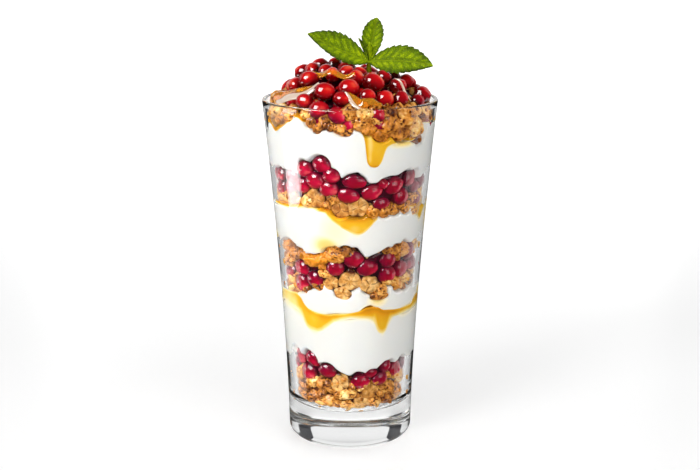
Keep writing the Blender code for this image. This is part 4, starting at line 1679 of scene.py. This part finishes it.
def build_world(stage):
    """White to the camera, soft light all round, and for mirrored rays a dim room in front."""
    world = bpy.data.worlds.new("studio")
    bpy.context.scene.world = world
    world.use_nodes = True
    tree = world.node_tree
    path = add_node(tree, "ShaderNodeLightPath").outputs
    way = add_node(tree, "ShaderNodeTexCoord").outputs["Generated"]
    way = add_node(tree, "ShaderNodeSeparateXYZ", {0: way}).outputs
    upward = maths(tree, "GREATER_THAN", way["Z"], 0.0)
    turned = maths(tree, "ADD", way["Y"], maths(tree, "MULTIPLY", upward, 0.62))
    front = add_node(tree, "ShaderNodeMapRange", {0: turned, 1: 0.98, 2: 0.93}).outputs[0]
    above = add_node(tree, "ShaderNodeMapRange", {0: way["Z"], 1: 0.5, 2: 0.75}).outputs[0]
    room = mixed_value(tree, maths(tree, "MAXIMUM", front, above), 0.9, stage.room)
    looked = mixed_value(tree, maths(tree, "GREATER_THAN", path["Glossy Depth"], 0.5), 1.08, room)
    first = maths(tree, "LESS_THAN", path["Diffuse Depth"], 0.5)
    strength = mixed_value(tree, first, stage.sky, looked)
    set_inputs(tree.nodes["Background"], {"Color": (1, 1, 1, 1), "Strength": strength})


def build_stage():
    scene = bpy.context.scene
    stage = scene.parfait_stage
    scene.view_settings.view_transform = "Standard"
    scene.cycles.transparent_max_bounces = 24
    floor = card("studio_floor", (-4, -4, 0), (8, 0, 0), (0, 8, 0), floor_material(), seen=True)
    floor.visible_glossy = False
    build_world(stage)
    add_area("key_light", (-0.62, -0.62, 0.62), (0, 0, 0.1), 0.34, stage.key_power, mirrored=True)
    add_area("fill_light", (0.75, -0.75, 0.4), (0, 0, 0.09), 0.8, stage.fill_power)
    add_area("top_light", (0.1, 0.0, 1.5), (0, 0, 0), 1.6, stage.top_power)
    flag_ring()
    strip = glow_material("strip card", (1, 1, 1), 7.0)
    card("strip_card", (-0.27, -0.075, 0.016), (0, 0.12, 0), (0, 0, 0.05), strip)
    soft = glow_material("softbox", (1, 1, 1), stage.softbox)
    card("softbox_card", (-0.95, -0.45, 0.5), (0.55, -0.45, 0.0), (0.22, 0.27, 0.5), soft)
    camera = bpy.data.cameras.new("camera")
    camera.lens = stage.lens
    camera.sensor_width = 36
    scene.camera = bpy.data.objects.new("camera", camera)
    scene.camera.location = CAMERA_AT
    scene.camera.rotation_euler = (math.radians(90 - CAMERA_DIP), 0, 0)
    scene.collection.objects.link(scene.camera)


# ---------------------------------------------------------------- operators


class PARFAIT_OT_tumbler(bpy.types.Operator):
    """Make the glass"""

    bl_idname = "parfait.tumbler"
    bl_label = "Tumbler"

    def execute(self, context):
        build_tumbler()
        return {"FINISHED"}


class PARFAIT_OT_yogurt(bpy.types.Operator):
    """Pour the layers of yogurt"""

    bl_idname = "parfait.yogurt"
    bl_label = "Yogurt"

    def execute(self, context):
        build_yogurt()
        return {"FINISHED"}


class PARFAIT_OT_honey(bpy.types.Operator):
    """Pour the honey between the layers"""

    bl_idname = "parfait.honey"
    bl_label = "Honey"

    def execute(self, context):
        build_honey()
        return {"FINISHED"}


class PARFAIT_OT_granola(bpy.types.Operator):
    """Fill in the layers of granola"""

    bl_idname = "parfait.granola"
    bl_label = "Granola"

    def execute(self, context):
        for layer in GRANOLAS:
            build_granola_layer(layer)
        return {"FINISHED"}


class PARFAIT_OT_arils(bpy.types.Operator):
    """Fill in the layers of pomegranate arils"""

    bl_idname = "parfait.arils"
    bl_label = "Arils"

    def execute(self, context):
        for layer in ARIL_LAYERS:
            build_aril_layer(layer)
        return {"FINISHED"}


class PARFAIT_OT_heap(bpy.types.Operator):
    """Heap arils and granola on top"""

    bl_idname = "parfait.heap"
    bl_label = "Heap"

    def execute(self, context):
        build_heap()
        return {"FINISHED"}


class PARFAIT_OT_mint(bpy.types.Operator):
    """Stand the mint sprig in the heap"""

    bl_idname = "parfait.mint"
    bl_label = "Mint sprig"

    def execute(self, context):
        build_mint()
        return {"FINISHED"}


class PARFAIT_OT_stage(bpy.types.Operator):
    """Set up floor, lights and camera"""

    bl_idname = "parfait.stage"
    bl_label = "Stage"

    def execute(self, context):
        build_stage()
        return {"FINISHED"}


OPERATORS = (
    PARFAIT_OT_tumbler,
    PARFAIT_OT_yogurt,
    PARFAIT_OT_honey,
    PARFAIT_OT_granola,
    PARFAIT_OT_arils,
    PARFAIT_OT_heap,
    PARFAIT_OT_mint,
    PARFAIT_OT_stage,
)
SETTINGS = {
    "parfait_tumbler": TumblerSettings,
    "parfait_filling": FillingSettings,
    "parfait_sprig": SprigSettings,
    "parfait_stage": StageSettings,
}


class PARFAIT_PT_panel(bpy.types.Panel):
    """The parfait's settings and pieces"""

    bl_label = "Yogurt Parfait"
    bl_idname = "PARFAIT_PT_panel"
    bl_space_type = "VIEW_3D"
    bl_region_type = "UI"
    bl_category = "Parfait"

    def draw(self, context):
        for name, kind in SETTINGS.items():
            box = self.layout.box()
            for key in kind.__annotations__:
                box.prop(getattr(context.scene, name), key)
        for operator in OPERATORS:
            self.layout.operator(operator.bl_idname)


def register():
    for kind in (*SETTINGS.values(), *OPERATORS, PARFAIT_PT_panel):
        bpy.utils.register_class(kind)
    for name, kind in SETTINGS.items():
        setattr(bpy.types.Scene, name, bpy.props.PointerProperty(type=kind))


def unregister():
    for name in SETTINGS:
        delattr(bpy.types.Scene, name)
    for kind in (PARFAIT_PT_panel, *OPERATORS, *SETTINGS.values()):
        bpy.utils.unregister_class(kind)


def main():
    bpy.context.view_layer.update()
    register()
    for operator in OPERATORS:
        call = getattr(bpy.ops.parfait, operator.bl_idname.split(".")[1])
        if call() != {"FINISHED"}:
            raise RuntimeError(f"{operator.bl_label} didn't finish")


if __name__ == "__main__":
    main()
